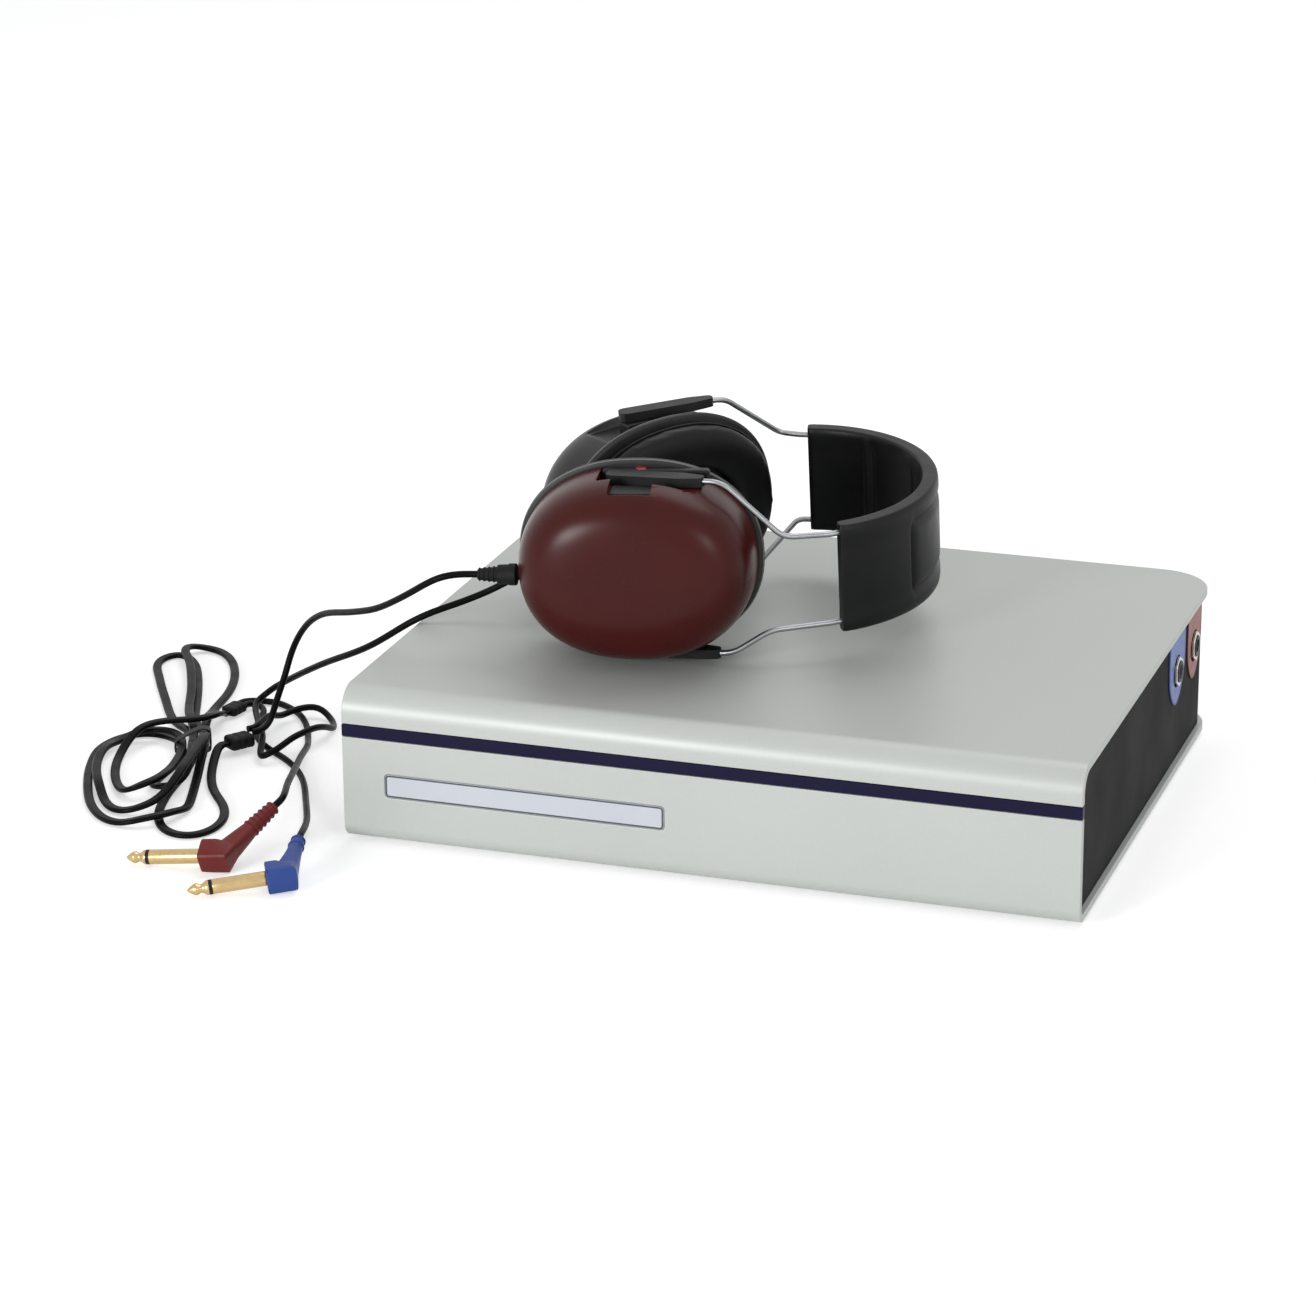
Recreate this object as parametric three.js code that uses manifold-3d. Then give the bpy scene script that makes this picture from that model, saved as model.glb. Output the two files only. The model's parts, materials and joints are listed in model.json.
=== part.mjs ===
// Audiometer: a flat case with an earphone headset lying on it, its cords and two plugs.
// Millimetres, +Z up, +X to the right along the front, +Y into the depth. Origin: middle of the
// case's footprint, on the surface that its feet stand on.
import * as THREE from "three";
import { mergeVertices } from "three/addons/utils/BufferGeometryUtils.js";
import Module from "manifold-3d";

const wasm = await Module();
wasm.setup();

// Case
const CASE_W = 320;
const CASE_D = 261.2;
const CASE_H = 67.2;
const FOOT_H = 2;
const SHEET = 3.2;
const TOP_ROUND = 11.4;
const BASE_ROUND = 6.6;
const REAR_ROUND = 25;
const STRIP_LOW = 46.2;
const STRIP_HIGH = 51.7;
const WALL_INSET = 2.3;
const WALL_T = 2.5;
const FIT = 0.3; // gap between pieces that touch
const PLATE_X = [-140.8, -16.9];
const PLATE_Z = [20.8, 30.9];

// Earphone sockets on the right wall
const BLUE_Y = 55.8;
const RED_Y = 91.3;
const SOCKET_Z = 46;
const JACK_BORE = 3.35;
const BUSH_R = 4.8;

// Rear connectors
const INLET_X = 92;
const ROCKER_X = 52;
const USB_X = 8;
const REAR_Z = 32;

// Cups
const SHELL_B = 50.6;
const SHELL_W = 40.1;
const SHELL_N = 2.23; // exponent of the outline
const DOME_P = 3.9; // exponent of the dome's profile
const DOME_TOP = 31.5; // from the swivel plane outwards
const DOME_FOOT = 8.5; // from the swivel plane towards the head
const RIM_B = 52.9;
const RIM_W = 42.4;
const RIM_BACK = 10.5;
const RIM_T = 2.7;
const CUSHION_END = 24.5;
const PIN_B = 2;
const PIN_R = 2;
const BLOCK_IN = 35;
const BLOCK_OUT = 39;
const BLOCK_RISE = 5.6; // how much higher the left cup's upper block sits
const BLOCK_B = [-14.5, 28.4];
const WIRE_R = 1.25;
const WIRE_END_B = 8;

// Where the cups lie: swivel point, turn of the sliders, turn of the cup on them, lean
const RIGHT = { pin: [-51.5, -53.4, 110.2], yaw: 1.5, turn: 9.2, lean: 1.9, out: -1, gland: [-51.2, -4.2] };
const LEFT = { pin: [-70.2, 25, 111.1], yaw: 34, turn: 16.5, lean: 5, out: 1, gland: [-49.4, -17.5] };
RIGHT.rise = 0;
RIGHT.sag = 2; // how much lower the lower block sits
RIGHT.slip = 5; // how far the lower block sits towards the headband
LEFT.rise = BLOCK_RISE;
LEFT.sag = 0;
LEFT.slip = 0;
const GLAND_L = 17.3;

// Headband pad: an arc rolled a little about its own middle line
const PAD_C = [-3.2, 17.2, 108.3];
const PAD_R = 61.4;
const PAD_T = 8;
const PAD_HALF = 24.8;
const PAD_FROM = -50;
const PAD_TO = 108;
const PAD_YAW = -5.8;
const PAD_ROLL = 5.7;
const WIRE_W = 20.5;

// Cords
const CORD_R = 1.5;
const TWIN_W = 4.2;
const TWIN_T = 2.5;
const STRAND_GAP = 0.55;

const rad = (d) => (d * Math.PI) / 180;
const vec = (a) => new THREE.Vector3(a[0], a[1], a[2]);

const LOOKS = {
  silver: [0xcdd2cd, 0.35, 0.6],
  navy: [0x2b2a49, 0.0, 0.5],
  dark: [0x363636, 0.0, 0.6],
  black: [0x1c1c1e, 0.0, 0.6],
  burgundy: [0x582220, 0.0, 0.3],
  blue: [0x3c56a0, 0.0, 0.4],
  red: [0x7a2a28, 0.0, 0.4],
  label_blue: [0x5f74ad, 0.0, 0.5],
  label_red: [0x8a4f4a, 0.0, 0.5],
  plate: [0xd3d6de, 0.0, 0.4],
  steel: [0xb8bcc0, 1.0, 0.3],
  gold: [0xc6b087, 1.0, 0.3],
  board: [0x2f6b45, 0.0, 0.6],
};

const root = new THREE.Group();

function solid(geometry) {
  const g = geometry.clone();
  g.deleteAttribute("normal");
  g.deleteAttribute("uv");
  const merged = mergeVertices(g, 1e-4);
  return new wasm.Manifold(
    new wasm.Mesh({
      numProp: 3,
      vertProperties: merged.attributes.position.array,
      triVerts: new Uint32Array(merged.index.array),
    }),
  );
}

function geometryOf(made) {
  const m = made.getMesh();
  const g = new THREE.BufferGeometry();
  g.setAttribute("position", new THREE.BufferAttribute(m.vertProperties, 3));
  g.setIndex(new THREE.BufferAttribute(m.triVerts, 1));
  return g;
}

function put(name, shape, look, parent = root) {
  const g = shape.isBufferGeometry ? shape : geometryOf(shape);
  const flat = g.index ? g.toNonIndexed() : g;
  flat.computeVertexNormals();
  const [color, metalness, roughness] = LOOKS[look];
  const mesh = new THREE.Mesh(flat, new THREE.MeshStandardMaterial({ color, metalness, roughness }));
  mesh.name = name;
  parent.add(mesh);
  return mesh;
}

function box(x, y, z) {
  const g = new THREE.BoxGeometry(x[1] - x[0], y[1] - y[0], z[1] - z[0]);
  g.translate((x[0] + x[1]) / 2, (y[0] + y[1]) / 2, (z[0] + z[1]) / 2);
  return solid(g);
}

// A round bar from low to high along an axis; at holds the other two coordinates in X, Y, Z order.
function bar(axis, low, high, at, r0, r1 = r0, sides = 18) {
  const g = new THREE.CylinderGeometry(r1, r0, high - low, sides);
  g.translate(0, (low + high) / 2, 0);
  if (axis === "x") g.rotateZ(-Math.PI / 2).translate(0, at[0], at[1]);
  if (axis === "y") g.translate(at[0], 0, at[1]);
  if (axis === "z") g.rotateX(Math.PI / 2).translate(at[0], at[1], 0);
  return solid(g);
}

function prism(shape, low, high, steps = 8) {
  const g = new THREE.ExtrudeGeometry(shape, { depth: high - low, bevelEnabled: false, curveSegments: steps });
  g.translate(0, 0, low);
  return solid(g);
}

// A profile drawn in Y and Z, run along X.
function alongX(shape, low, high) {
  const g = new THREE.ExtrudeGeometry(shape, { depth: high - low, bevelEnabled: false, curveSegments: 8 });
  g.translate(0, 0, low);
  g.applyMatrix4(new THREE.Matrix4().makeBasis(vec([0, 1, 0]), vec([0, 0, 1]), vec([1, 0, 0])));
  return solid(g);
}

// Rings of equally many points, joined one after another and closed at both ends.
function loft(rings, ring = false) {
  const n = rings[0].length;
  const p = [];
  const f = [];
  rings.forEach((r) => r.forEach((q) => p.push(q[0], q[1], q[2])));
  const last = rings.length - (ring ? 0 : 1);
  for (let i = 0; i < last; i++) {
    for (let j = 0; j < n; j++) {
      const a = i * n + j;
      const b = i * n + ((j + 1) % n);
      const c = ((i + 1) % rings.length) * n + j;
      const d = ((i + 1) % rings.length) * n + ((j + 1) % n);
      f.push(a, b, d, a, d, c);
    }
  }
  if (!ring) {
    const centre = (r) => r.reduce((s, q) => [s[0] + q[0] / n, s[1] + q[1] / n, s[2] + q[2] / n], [0, 0, 0]);
    const first = rings.length * n;
    p.push(...centre(rings[0]), ...centre(rings[rings.length - 1]));
    for (let j = 0; j < n; j++) {
      f.push(first, (j + 1) % n, j);
      f.push(first + 1, (rings.length - 1) * n + j, (rings.length - 1) * n + ((j + 1) % n));
    }
  }
  const g = new THREE.BufferGeometry();
  g.setAttribute("position", new THREE.BufferAttribute(new Float32Array(p), 3));
  g.setIndex(f);
  const made = solid(g);
  if (made.volume() > 0) return made;
  const turned = [];
  for (let i = 0; i < f.length; i += 3) turned.push(f[i], f[i + 2], f[i + 1]);
  g.setIndex(turned);
  return solid(g);
}

// A round tube along points, its section carried along without twist.
function tube(points, r, sides = 8) {
  const rings = [];
  let side = null;
  points.forEach((p, i) => {
    const from = points[Math.max(i - 1, 0)];
    const to = points[Math.min(i + 1, points.length - 1)];
    const t = to.clone().sub(from).normalize();
    if (!side) side = Math.abs(t.z) > 0.9 ? vec([1, 0, 0]) : vec([0, 0, 1]);
    side = side.clone().sub(t.clone().multiplyScalar(side.dot(t))).normalize();
    const up = t.clone().cross(side);
    const ring = [];
    for (let j = 0; j < sides; j++) {
      const a = (2 * Math.PI * j) / sides;
      const q = p.clone();
      q.addScaledVector(side, r * Math.cos(a));
      q.addScaledVector(up, r * Math.sin(a));
      ring.push([q.x, q.y, q.z]);
    }
    rings.push(ring);
  });
  return loft(rings);
}

// A flat cord along points: it lies on its broad side.
function ribbon(points, width, thick) {
  const rings = points.map((p, i) => {
    const from = points[Math.max(i - 1, 0)];
    const to = points[Math.min(i + 1, points.length - 1)];
    const t = to.clone().sub(from).normalize();
    const side = vec([t.y, -t.x, 0]).normalize();
    const up = side.clone().cross(t);
    const ring = [];
    for (let j = 0; j < 6; j++) {
      const a = (2 * Math.PI * j) / 6;
      const flatten = Math.abs(Math.sin(a)) > 0.1 ? 1 / Math.sin(Math.PI / 3) : 1;
      const q = p.clone();
      q.addScaledVector(side, (width / 2) * Math.cos(a) * (flatten > 1 ? 1.5 : 1));
      q.addScaledVector(up, (thick / 2) * Math.sin(a) * flatten);
      ring.push([q.x, q.y, q.z]);
    }
    return ring;
  });
  return loft(rings);
}

function spaced(list, step) {
  const curve = new THREE.CatmullRomCurve3(list.map(vec), false, "centripetal");
  const out = curve.getSpacedPoints(Math.max(4, Math.round(curve.getLength() / step)));
  out.splice(out.length - 1, 0, vec(list[list.length - 2]));
  out.splice(1, 0, vec(list[1]));
  return out;
}

// Corners of a line rounded off with a given reach, for the bent wires.
function rounded(list, reach) {
  const pts = list.map(vec);
  const out = [pts[0]];
  for (let i = 1; i < pts.length - 1; i++) {
    const cut = Math.min(reach, pts[i].distanceTo(pts[i - 1]) * 0.45, pts[i].distanceTo(pts[i + 1]) * 0.45);
    const a = pts[i].clone().add(pts[i - 1].clone().sub(pts[i]).setLength(cut));
    const b = pts[i].clone().add(pts[i + 1].clone().sub(pts[i]).setLength(cut));
    const bend = new THREE.QuadraticBezierCurve3(a, pts[i], b);
    out.push(...bend.getPoints(4));
  }
  out.push(pts[pts.length - 1]);
  return out;
}

// The outline of cups, rims and cushions, in the plane of b and w at height a.
function outline(hb, hw, a, n = SHELL_N, count = 32) {
  const ring = [];
  for (let i = 0; i < count; i++) {
    const t = (2 * Math.PI * i) / count;
    const c = Math.cos(t);
    const s = Math.sin(t);
    const b = hb * Math.sign(c) * Math.abs(c) ** (2 / n);
    const w = hw * Math.sign(s) * Math.abs(s) ** (2 / n);
    ring.push([b, a, w]);
  }
  return ring;
}

// Case

const caseGroup = new THREE.Group();
caseGroup.position.z = FOOT_H;
root.add(caseGroup);

const X = CASE_W / 2;
const Y = CASE_D / 2;

function footprint() {
  const s = new THREE.Shape();
  s.moveTo(-X, -Y - 1);
  s.lineTo(X, -Y - 1);
  s.lineTo(X, Y - REAR_ROUND);
  s.absarc(X - REAR_ROUND, Y - REAR_ROUND, REAR_ROUND, 0, Math.PI / 2, false);
  s.lineTo(-X + REAR_ROUND, Y);
  s.absarc(-X + REAR_ROUND, Y - REAR_ROUND, REAR_ROUND, Math.PI / 2, Math.PI, false);
  s.lineTo(-X, -Y - 1);
  return prism(s, -1, CASE_H + 1, 9);
}

const topProfile = new THREE.Shape();
topProfile.moveTo(-Y, STRIP_HIGH + FIT / 2);
topProfile.lineTo(-Y + SHEET, STRIP_HIGH + FIT / 2);
topProfile.lineTo(-Y + SHEET, CASE_H - TOP_ROUND);
topProfile.absarc(-Y + TOP_ROUND, CASE_H - TOP_ROUND, TOP_ROUND - SHEET, Math.PI, Math.PI / 2, true);
topProfile.lineTo(Y, CASE_H - SHEET);
topProfile.lineTo(Y, CASE_H);
topProfile.lineTo(-Y + TOP_ROUND, CASE_H);
topProfile.absarc(-Y + TOP_ROUND, CASE_H - TOP_ROUND, TOP_ROUND, Math.PI / 2, Math.PI, false);
put("top_cover", alongX(topProfile, -X, X).intersect(footprint()), "silver", caseGroup);

const baseProfile = new THREE.Shape();
baseProfile.moveTo(-Y, STRIP_LOW - FIT / 2);
baseProfile.lineTo(-Y, BASE_ROUND);
baseProfile.absarc(-Y + BASE_ROUND, BASE_ROUND, BASE_ROUND, Math.PI, 1.5 * Math.PI, false);
baseProfile.lineTo(Y, 0);
baseProfile.lineTo(Y, SHEET);
baseProfile.lineTo(-Y + BASE_ROUND, SHEET);
baseProfile.absarc(-Y + BASE_ROUND, BASE_ROUND, BASE_ROUND - SHEET, 1.5 * Math.PI, Math.PI, true);
baseProfile.lineTo(-Y + SHEET, STRIP_LOW - FIT / 2);
const BOARD_Z = 9.5;
const posts = [
  [-122, -92], [52, -92], [-122, 52], [52, 52],
  [-122, 82], [20, 82], [-122, 108], [20, 108],
  [95, 28], [122, 28], [95, 108], [122, 108],
];
let base = alongX(baseProfile, -X, X).intersect(footprint());
posts.forEach((p) => {
  base = base.add(bar("z", SHEET - 0.5, BOARD_Z - FIT, p, 4, 4, 8));
});
const platePocket = box([PLATE_X[0] - FIT, PLATE_X[1] + FIT], [-Y - 1, -Y + 0.9], [PLATE_Z[0] - FIT, PLATE_Z[1] + FIT]);
put("base_cover", base.subtract(platePocket), "silver", caseGroup);
put("name_plate", box(PLATE_X, [-Y + 0.05, -Y + 0.6], PLATE_Z), "plate", caseGroup);

const wallX = X - WALL_INSET;
const wallY = Y - WALL_INSET;
const stripBody = box([-X, X], [-Y, -Y + SHEET], [STRIP_LOW + FIT / 2, STRIP_HIGH - FIT / 2]);
const stripInner = [-wallX + WALL_T + 0.4, wallX - WALL_T - 0.4];
const stripNeck = box(stripInner, [-Y + SHEET - 0.5, -Y + SHEET + 2.3], [STRIP_LOW + FIT / 2, STRIP_HIGH - FIT / 2]);
const stripFlange = box(stripInner, [-Y + SHEET + FIT, -Y + SHEET + 2.3], [STRIP_LOW - 4, STRIP_HIGH + 4]);
put("front_strip", stripBody.add(stripNeck).add(stripFlange), "navy", caseGroup);

function wallPlan(inset, round, front) {
  const x = X - inset;
  const y = Y - inset;
  const s = new THREE.Shape();
  s.moveTo(-x, front);
  s.lineTo(x, front);
  s.lineTo(x, y - round);
  s.absarc(x - round, y - round, round, 0, Math.PI / 2, false);
  s.lineTo(-x + round, y);
  s.absarc(-x + round, y - round, round, Math.PI / 2, Math.PI, false);
  s.lineTo(-x, front);
  return s;
}
const wallLow = SHEET + FIT;
const wallHigh = CASE_H - SHEET - FIT;
const wallFront = -Y + SHEET + FIT;
const wallSide = new THREE.Shape();
wallSide.moveTo(Y, wallLow);
wallSide.lineTo(Y, wallHigh);
wallSide.lineTo(-Y + TOP_ROUND, wallHigh);
wallSide.absarc(-Y + TOP_ROUND, CASE_H - TOP_ROUND, TOP_ROUND - SHEET - FIT, Math.PI / 2, Math.PI, false);
wallSide.lineTo(wallFront, BASE_ROUND);
wallSide.absarc(-Y + BASE_ROUND, BASE_ROUND, BASE_ROUND - SHEET - FIT, Math.PI, 1.5 * Math.PI, false);
wallSide.lineTo(Y, wallLow);
let wall = prism(wallPlan(WALL_INSET, 22.8, wallFront), wallLow, wallHigh).intersect(alongX(wallSide, -X, X));
wall = wall.subtract(prism(wallPlan(WALL_INSET + WALL_T, 20.3, wallFront - 2), wallLow - 1, wallHigh + 1));
[BLUE_Y, RED_Y].forEach((y) => {
  wall = wall.subtract(bar("x", wallX - 5, wallX + 1, [y, SOCKET_Z], BUSH_R + 0.2));
});
const INLET = { w: 13.7, h: 10 };
const ROCKER = { w: 8.5, h: 11 };
const USB = { w: 6.1, h: 5.6 };
const rearHole = (x, s, more) => [[x - s.w - more, x + s.w + more], [REAR_Z - s.h - more, REAR_Z + s.h + more]];
[[INLET_X, INLET], [ROCKER_X, ROCKER], [USB_X, USB]].forEach(([x, s]) => {
  const [hx, hz] = rearHole(x, s, FIT);
  wall = wall.subtract(box(hx, [wallY - 6, wallY + 1], hz));
});
put("wall_panel", wall, "dark", caseGroup);

// Tongue-shaped colour fields round the sockets, with a hole for the nut.
function tongue(middle, half, low) {
  const s = new THREE.Shape();
  s.moveTo(middle - half, wallHigh - 0.4);
  s.lineTo(middle - half, SOCKET_Z + 4);
  s.bezierCurveTo(middle - half, low + 9, middle - half * 0.45, low, middle, low);
  s.bezierCurveTo(middle + half * 0.45, low, middle + half, low + 9, middle + half, SOCKET_Z + 4);
  s.lineTo(middle + half, wallHigh - 0.4);
  s.closePath();
  const made = alongX(s, wallX + 0.2, wallX + 0.6);
  return made.subtract(bar("x", wallX, wallX + 1, [middle, SOCKET_Z], 7.3));
}
put("blue_socket_label", tongue(BLUE_Y, 15.9, 30.7), "label_blue", caseGroup);
put("red_socket_label", tongue(RED_Y, 14.1, 31), "label_red", caseGroup);
[["blue", BLUE_Y], ["red", RED_Y]].forEach(([name, y]) => {
  const at = [y, SOCKET_Z];
  let body = box([wallX - 31, wallX - WALL_T - FIT], [y - 8, y + 8], [SOCKET_Z - 8, SOCKET_Z + 8]);
  body = body.add(bar("x", wallX - WALL_T - 1, X - 0.05, at, BUSH_R));
  body = body.subtract(bar("x", wallX - 29, X + 1, at, JACK_BORE));
  put(name + "_phone_socket", body, "black", caseGroup);
  const nut = bar("x", wallX + FIT, X - 0.4, at, 7, 7, 6).subtract(bar("x", wallX - 1, X + 1, at, BUSH_R + 0.2));
  put(name + "_socket_nut", nut, "steel", caseGroup);
});

// Rear connectors
function rearBody(x, s, depth, flange) {
  const [bx, bz] = rearHole(x, s, 0);
  const [fx, fz] = rearHole(x, s, flange);
  return box(bx, [wallY - depth, wallY + 1], bz).add(box(fx, [wallY + FIT, wallY + 1.9], fz));
}
let inlet = rearBody(INLET_X, INLET, 26, 2.2);
inlet = inlet.subtract(box([INLET_X - 12, INLET_X + 12], [wallY - 18, wallY + 3], [REAR_Z - 8, REAR_Z + 8]));
put("mains_inlet", inlet, "black", caseGroup);
let usb = rearBody(USB_X, USB, 16, 0.8);
usb = usb.subtract(box([USB_X - 4.3, USB_X + 4.3], [wallY - 12, wallY + 3], [REAR_Z - 3.9, REAR_Z + 3.9]));
put("usb_socket", usb, "steel", caseGroup);
const ROCK_Y = wallY - 6;
let frame = rearBody(ROCKER_X, ROCKER, 17, 1.5);
frame = frame.subtract(box([ROCKER_X - 6.4, ROCKER_X + 6.4], [wallY - 14, wallY + 3], [REAR_Z - 9.2, REAR_Z + 9.2]));
frame = frame.subtract(bar("x", ROCKER_X - 7.7, ROCKER_X + 7.7, [ROCK_Y, REAR_Z], 1.35, 1.35, 16));
put("rocker_frame", frame, "black", caseGroup);
const rockerShape = new THREE.Shape();
rockerShape.moveTo(-3, -4);
rockerShape.lineTo(7.2, -8.2);
rockerShape.lineTo(6.2, 0);
rockerShape.lineTo(7.2, 8.2);
rockerShape.lineTo(-3, 4);
let rocker = alongX(rockerShape, -6, 6).add(bar("x", -7.4, 7.4, [0, 0], 1.2, 1.2, 16));
rocker = geometryOf(rocker);
rocker.rotateX(rad(-7));
rocker.translate(ROCKER_X, ROCK_Y, REAR_Z);
put("power_rocker", rocker, "black", caseGroup);

// Boards and transformer
put("main_board", box([-130, 60], [-100, 60], [BOARD_Z, BOARD_Z + 1.6]), "board", caseGroup);
put("signal_processor", box([-60, -32], [-40, -12], [BOARD_Z + 1.9, BOARD_Z + 4.4]), "black", caseGroup);
put("power_supply_board", box([-130, 28], [76, 114], [BOARD_Z, BOARD_Z + 1.6]), "board", caseGroup);
put("earphone_amplifier_board", box([88, 125.5], [20, 115], [BOARD_Z, BOARD_Z + 1.6]), "board", caseGroup);
let core = box([76, 132], [-70, -12], [SHEET + FIT, SHEET + 6]);
core = core.add(box([80, 128], [-66, -16], [SHEET + 5, 44])).add(box([86, 122], [-72, -10], [14, 38]));
put("mains_transformer", core, "steel", caseGroup);

// Feet
[["front_left", -138, -108], ["front_right", 138, -108], ["rear_left", -128, 100], ["rear_right", 128, 100]].forEach(
  ([name, x, y]) => put(name + "_foot", bar("z", 0, FOOT_H - FIT, [x, y], 7.5, 8, 16), "black"),
);

// Headset: every piece is built in the cup's own frame, b towards the headband, a sideways, w up.
const headset = new THREE.Group();
headset.position.z = FOOT_H;
root.add(headset);

// The frame of a cup's sliders, its origin on the swivel axis; the cup turns in it.
function blockMatrix(side) {
  const turn = new THREE.Matrix4().makeRotationZ(rad(side.yaw));
  turn.multiply(new THREE.Matrix4().makeRotationY(rad(-side.lean)));
  return turn.setPosition(vec(side.pin));
}
function cupMatrix(side) {
  const turn = blockMatrix(side).multiply(new THREE.Matrix4().makeRotationZ(rad(side.turn)));
  return turn.multiply(new THREE.Matrix4().makeTranslation(-PIN_B, 0, 0));
}

function place(name, shape, look, matrix) {
  const g = geometryOf(shape);
  g.applyMatrix4(matrix);
  put(name, g, look, headset);
}

function cupShell(side) {
  const o = side.out;
  const outer = [];
  const steps = [1, 0.999, 0.975, 0.92, 0.82, 0.66, 0.35];
  outer.push(outline(SHELL_B, SHELL_W, -o * (RIM_BACK - FIT)));
  steps.forEach((u) => {
    const h = (1 - u ** DOME_P) ** (1 / DOME_P);
    outer.push(outline(SHELL_B * u, SHELL_W * u, o * (-DOME_FOOT + (DOME_TOP + DOME_FOOT) * h)));
  });
  const inner = [outline(44.5, 31.4, -o * (RIM_BACK + 1))];
  [1, 0.92, 0.6].forEach((u) => {
    const h = (1 - u ** DOME_P) ** (1 / DOME_P);
    inner.push(outline(44.5 * u, 31.4 * u, o * (-DOME_FOOT + 3 + (DOME_TOP + DOME_FOOT - 6) * h)));
  });
  let made = loft(outer).subtract(loft(inner));
  const deep = o > 0 ? [-RIM_BACK - 1, 14] : [-14, RIM_BACK + 1];
  const pocket = [-24, 36];
  made = made.subtract(box(pocket, deep, [34.7, 60]));
  made = made.subtract(box(pocket, deep, [-60, -34.7]));
  made = made.add(bar("z", 33.5, 37.4 + side.rise, [PIN_B, 0], PIN_R));
  made = made.add(bar("z", -37.4 - side.sag, -33.5, [PIN_B, 0], PIN_R));
  if (side.rise > 0) made = made.add(bar("z", 33.5, BLOCK_IN + side.rise - FIT, [PIN_B, 0], 3.6));
  if (side.sag > 0) made = made.add(bar("z", -BLOCK_IN - side.sag + FIT, -33.5, [PIN_B, 0], 3.6));
  return made.subtract(bar("x", -60, -38, [o * 6, side.gland[1]], 2.6));
}

function block(low, slip) {
  const half = 4.5;
  const head = BLOCK_B[1] + slip;
  const foot = BLOCK_B[0] + slip;
  const s = new THREE.Shape();
  const end = 3.4;
  s.moveTo(foot + end, -half);
  s.lineTo(head - 10, -half);
  s.lineTo(head - 2, -half + 1.7);
  s.quadraticCurveTo(head, -half + 2, head, 0);
  s.quadraticCurveTo(head, half - 2, head - 2, half - 1.7);
  s.lineTo(head - 10, half);
  s.lineTo(foot + end, half);
  s.quadraticCurveTo(foot, half, foot, 0);
  s.quadraticCurveTo(foot, -half, foot + end, -half);
  const high = low + BLOCK_OUT - BLOCK_IN;
  let made = prism(s, low, high, 3);
  const pinIn = low > 0 ? [low - 1, low + 2.8] : [high - 2.8, high + 1];
  made = made.subtract(bar("z", pinIn[0], pinIn[1], [0, 0], PIN_R + 0.12));
  return made.subtract(bar("x", WIRE_END_B - 2.5, head + 1, [0, (low + high) / 2], WIRE_R + 0.2, WIRE_R + 0.2, 16));
}

function cushion(side) {
  const o = -side.out;
  const from = RIM_BACK + RIM_T + FIT;
  const thick = CUSHION_END - from;
  const count = 12;
  const rings = [];
  for (let i = 0; i < count; i++) {
    const t = (2 * Math.PI * i) / count;
    const across = Math.sign(Math.cos(t)) * Math.abs(Math.cos(t)) ** 0.7;
    const up = Math.sign(Math.sin(t)) * Math.abs(Math.sin(t)) ** 0.75;
    const bulge = 1 - 0.12 * Math.max(0, -up);
    const hb = 38.6 + 11 * across * bulge;
    const hw = 29.2 + 10.4 * across * bulge;
    rings.push(outline(hb, hw, o * (from + thick * (0.5 + 0.5 * up)), 2.2, 36));
  }
  return loft(rings, true);
}

function rimPlate(side) {
  const o = -side.out;
  const rings = [
    outline(RIM_B - 0.6, RIM_W - 0.6, o * RIM_BACK),
    outline(RIM_B, RIM_W, o * (RIM_BACK + 0.7)),
    outline(RIM_B, RIM_W, o * (RIM_BACK + RIM_T - 0.7)),
    outline(RIM_B - 0.6, RIM_W - 0.6, o * (RIM_BACK + RIM_T)),
  ];
  return loft(rings).subtract(bar("y", -40, 40, [0, 0], 18.7, 18.7, 24));
}

function plusY(low, high, o) {
  return o > 0 ? [low, high] : [-high, -low];
}

[["right", RIGHT, "burgundy"], ["left", LEFT, "black"]].forEach(([name, side, look]) => {
  const m = cupMatrix(side);
  const k = blockMatrix(side);
  const o = -side.out;
  place(name + "_cup_shell", cupShell(side), look, m);
  place(name + "_cup_rim", rimPlate(side), "black", m);
  place(name + "_cushion", cushion(side), "black", m);
  const mouth = plusY(RIM_BACK - 9, RIM_BACK - FIT, o);
  const neck = plusY(RIM_BACK - 1, RIM_BACK + RIM_T - 0.2, o);
  const driver = bar("y", mouth[0], mouth[1], [0, 0], 21.5, 21.5, 24).add(bar("y", neck[0], neck[1], [0, 0], 18.2, 18.2, 24));
  place(name + "_driver", driver, "black", m);
  const linerFrom = RIM_BACK + RIM_T + FIT;
  const liner = loft([outline(26, 17.2, o * linerFrom, 2.2), outline(25.4, 16.6, o * (linerFrom + 1.8), 2.2)]);
  place(name + "_ear_liner", liner, "black", m);
  const [foot, level] = side.gland;
  const at = [side.out * 6, level];
  let gland = bar("x", foot - 8.8, foot, at, 4.2, 4.8, 14);
  gland = gland.add(bar("x", foot - GLAND_L, foot - 8.3, at, 2.5, 3.4, 14));
  gland = gland.add(bar("x", foot - 0.8, foot + 5, at, 2.3, 2.3, 14));
  place(name + "_gland", gland, "black", m);
  place(name + "_upper_slider", block(BLOCK_IN + side.rise, 0), "black", k);
  place(name + "_lower_slider", block(-BLOCK_OUT - side.sag, side.slip), "black", k);
});

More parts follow.
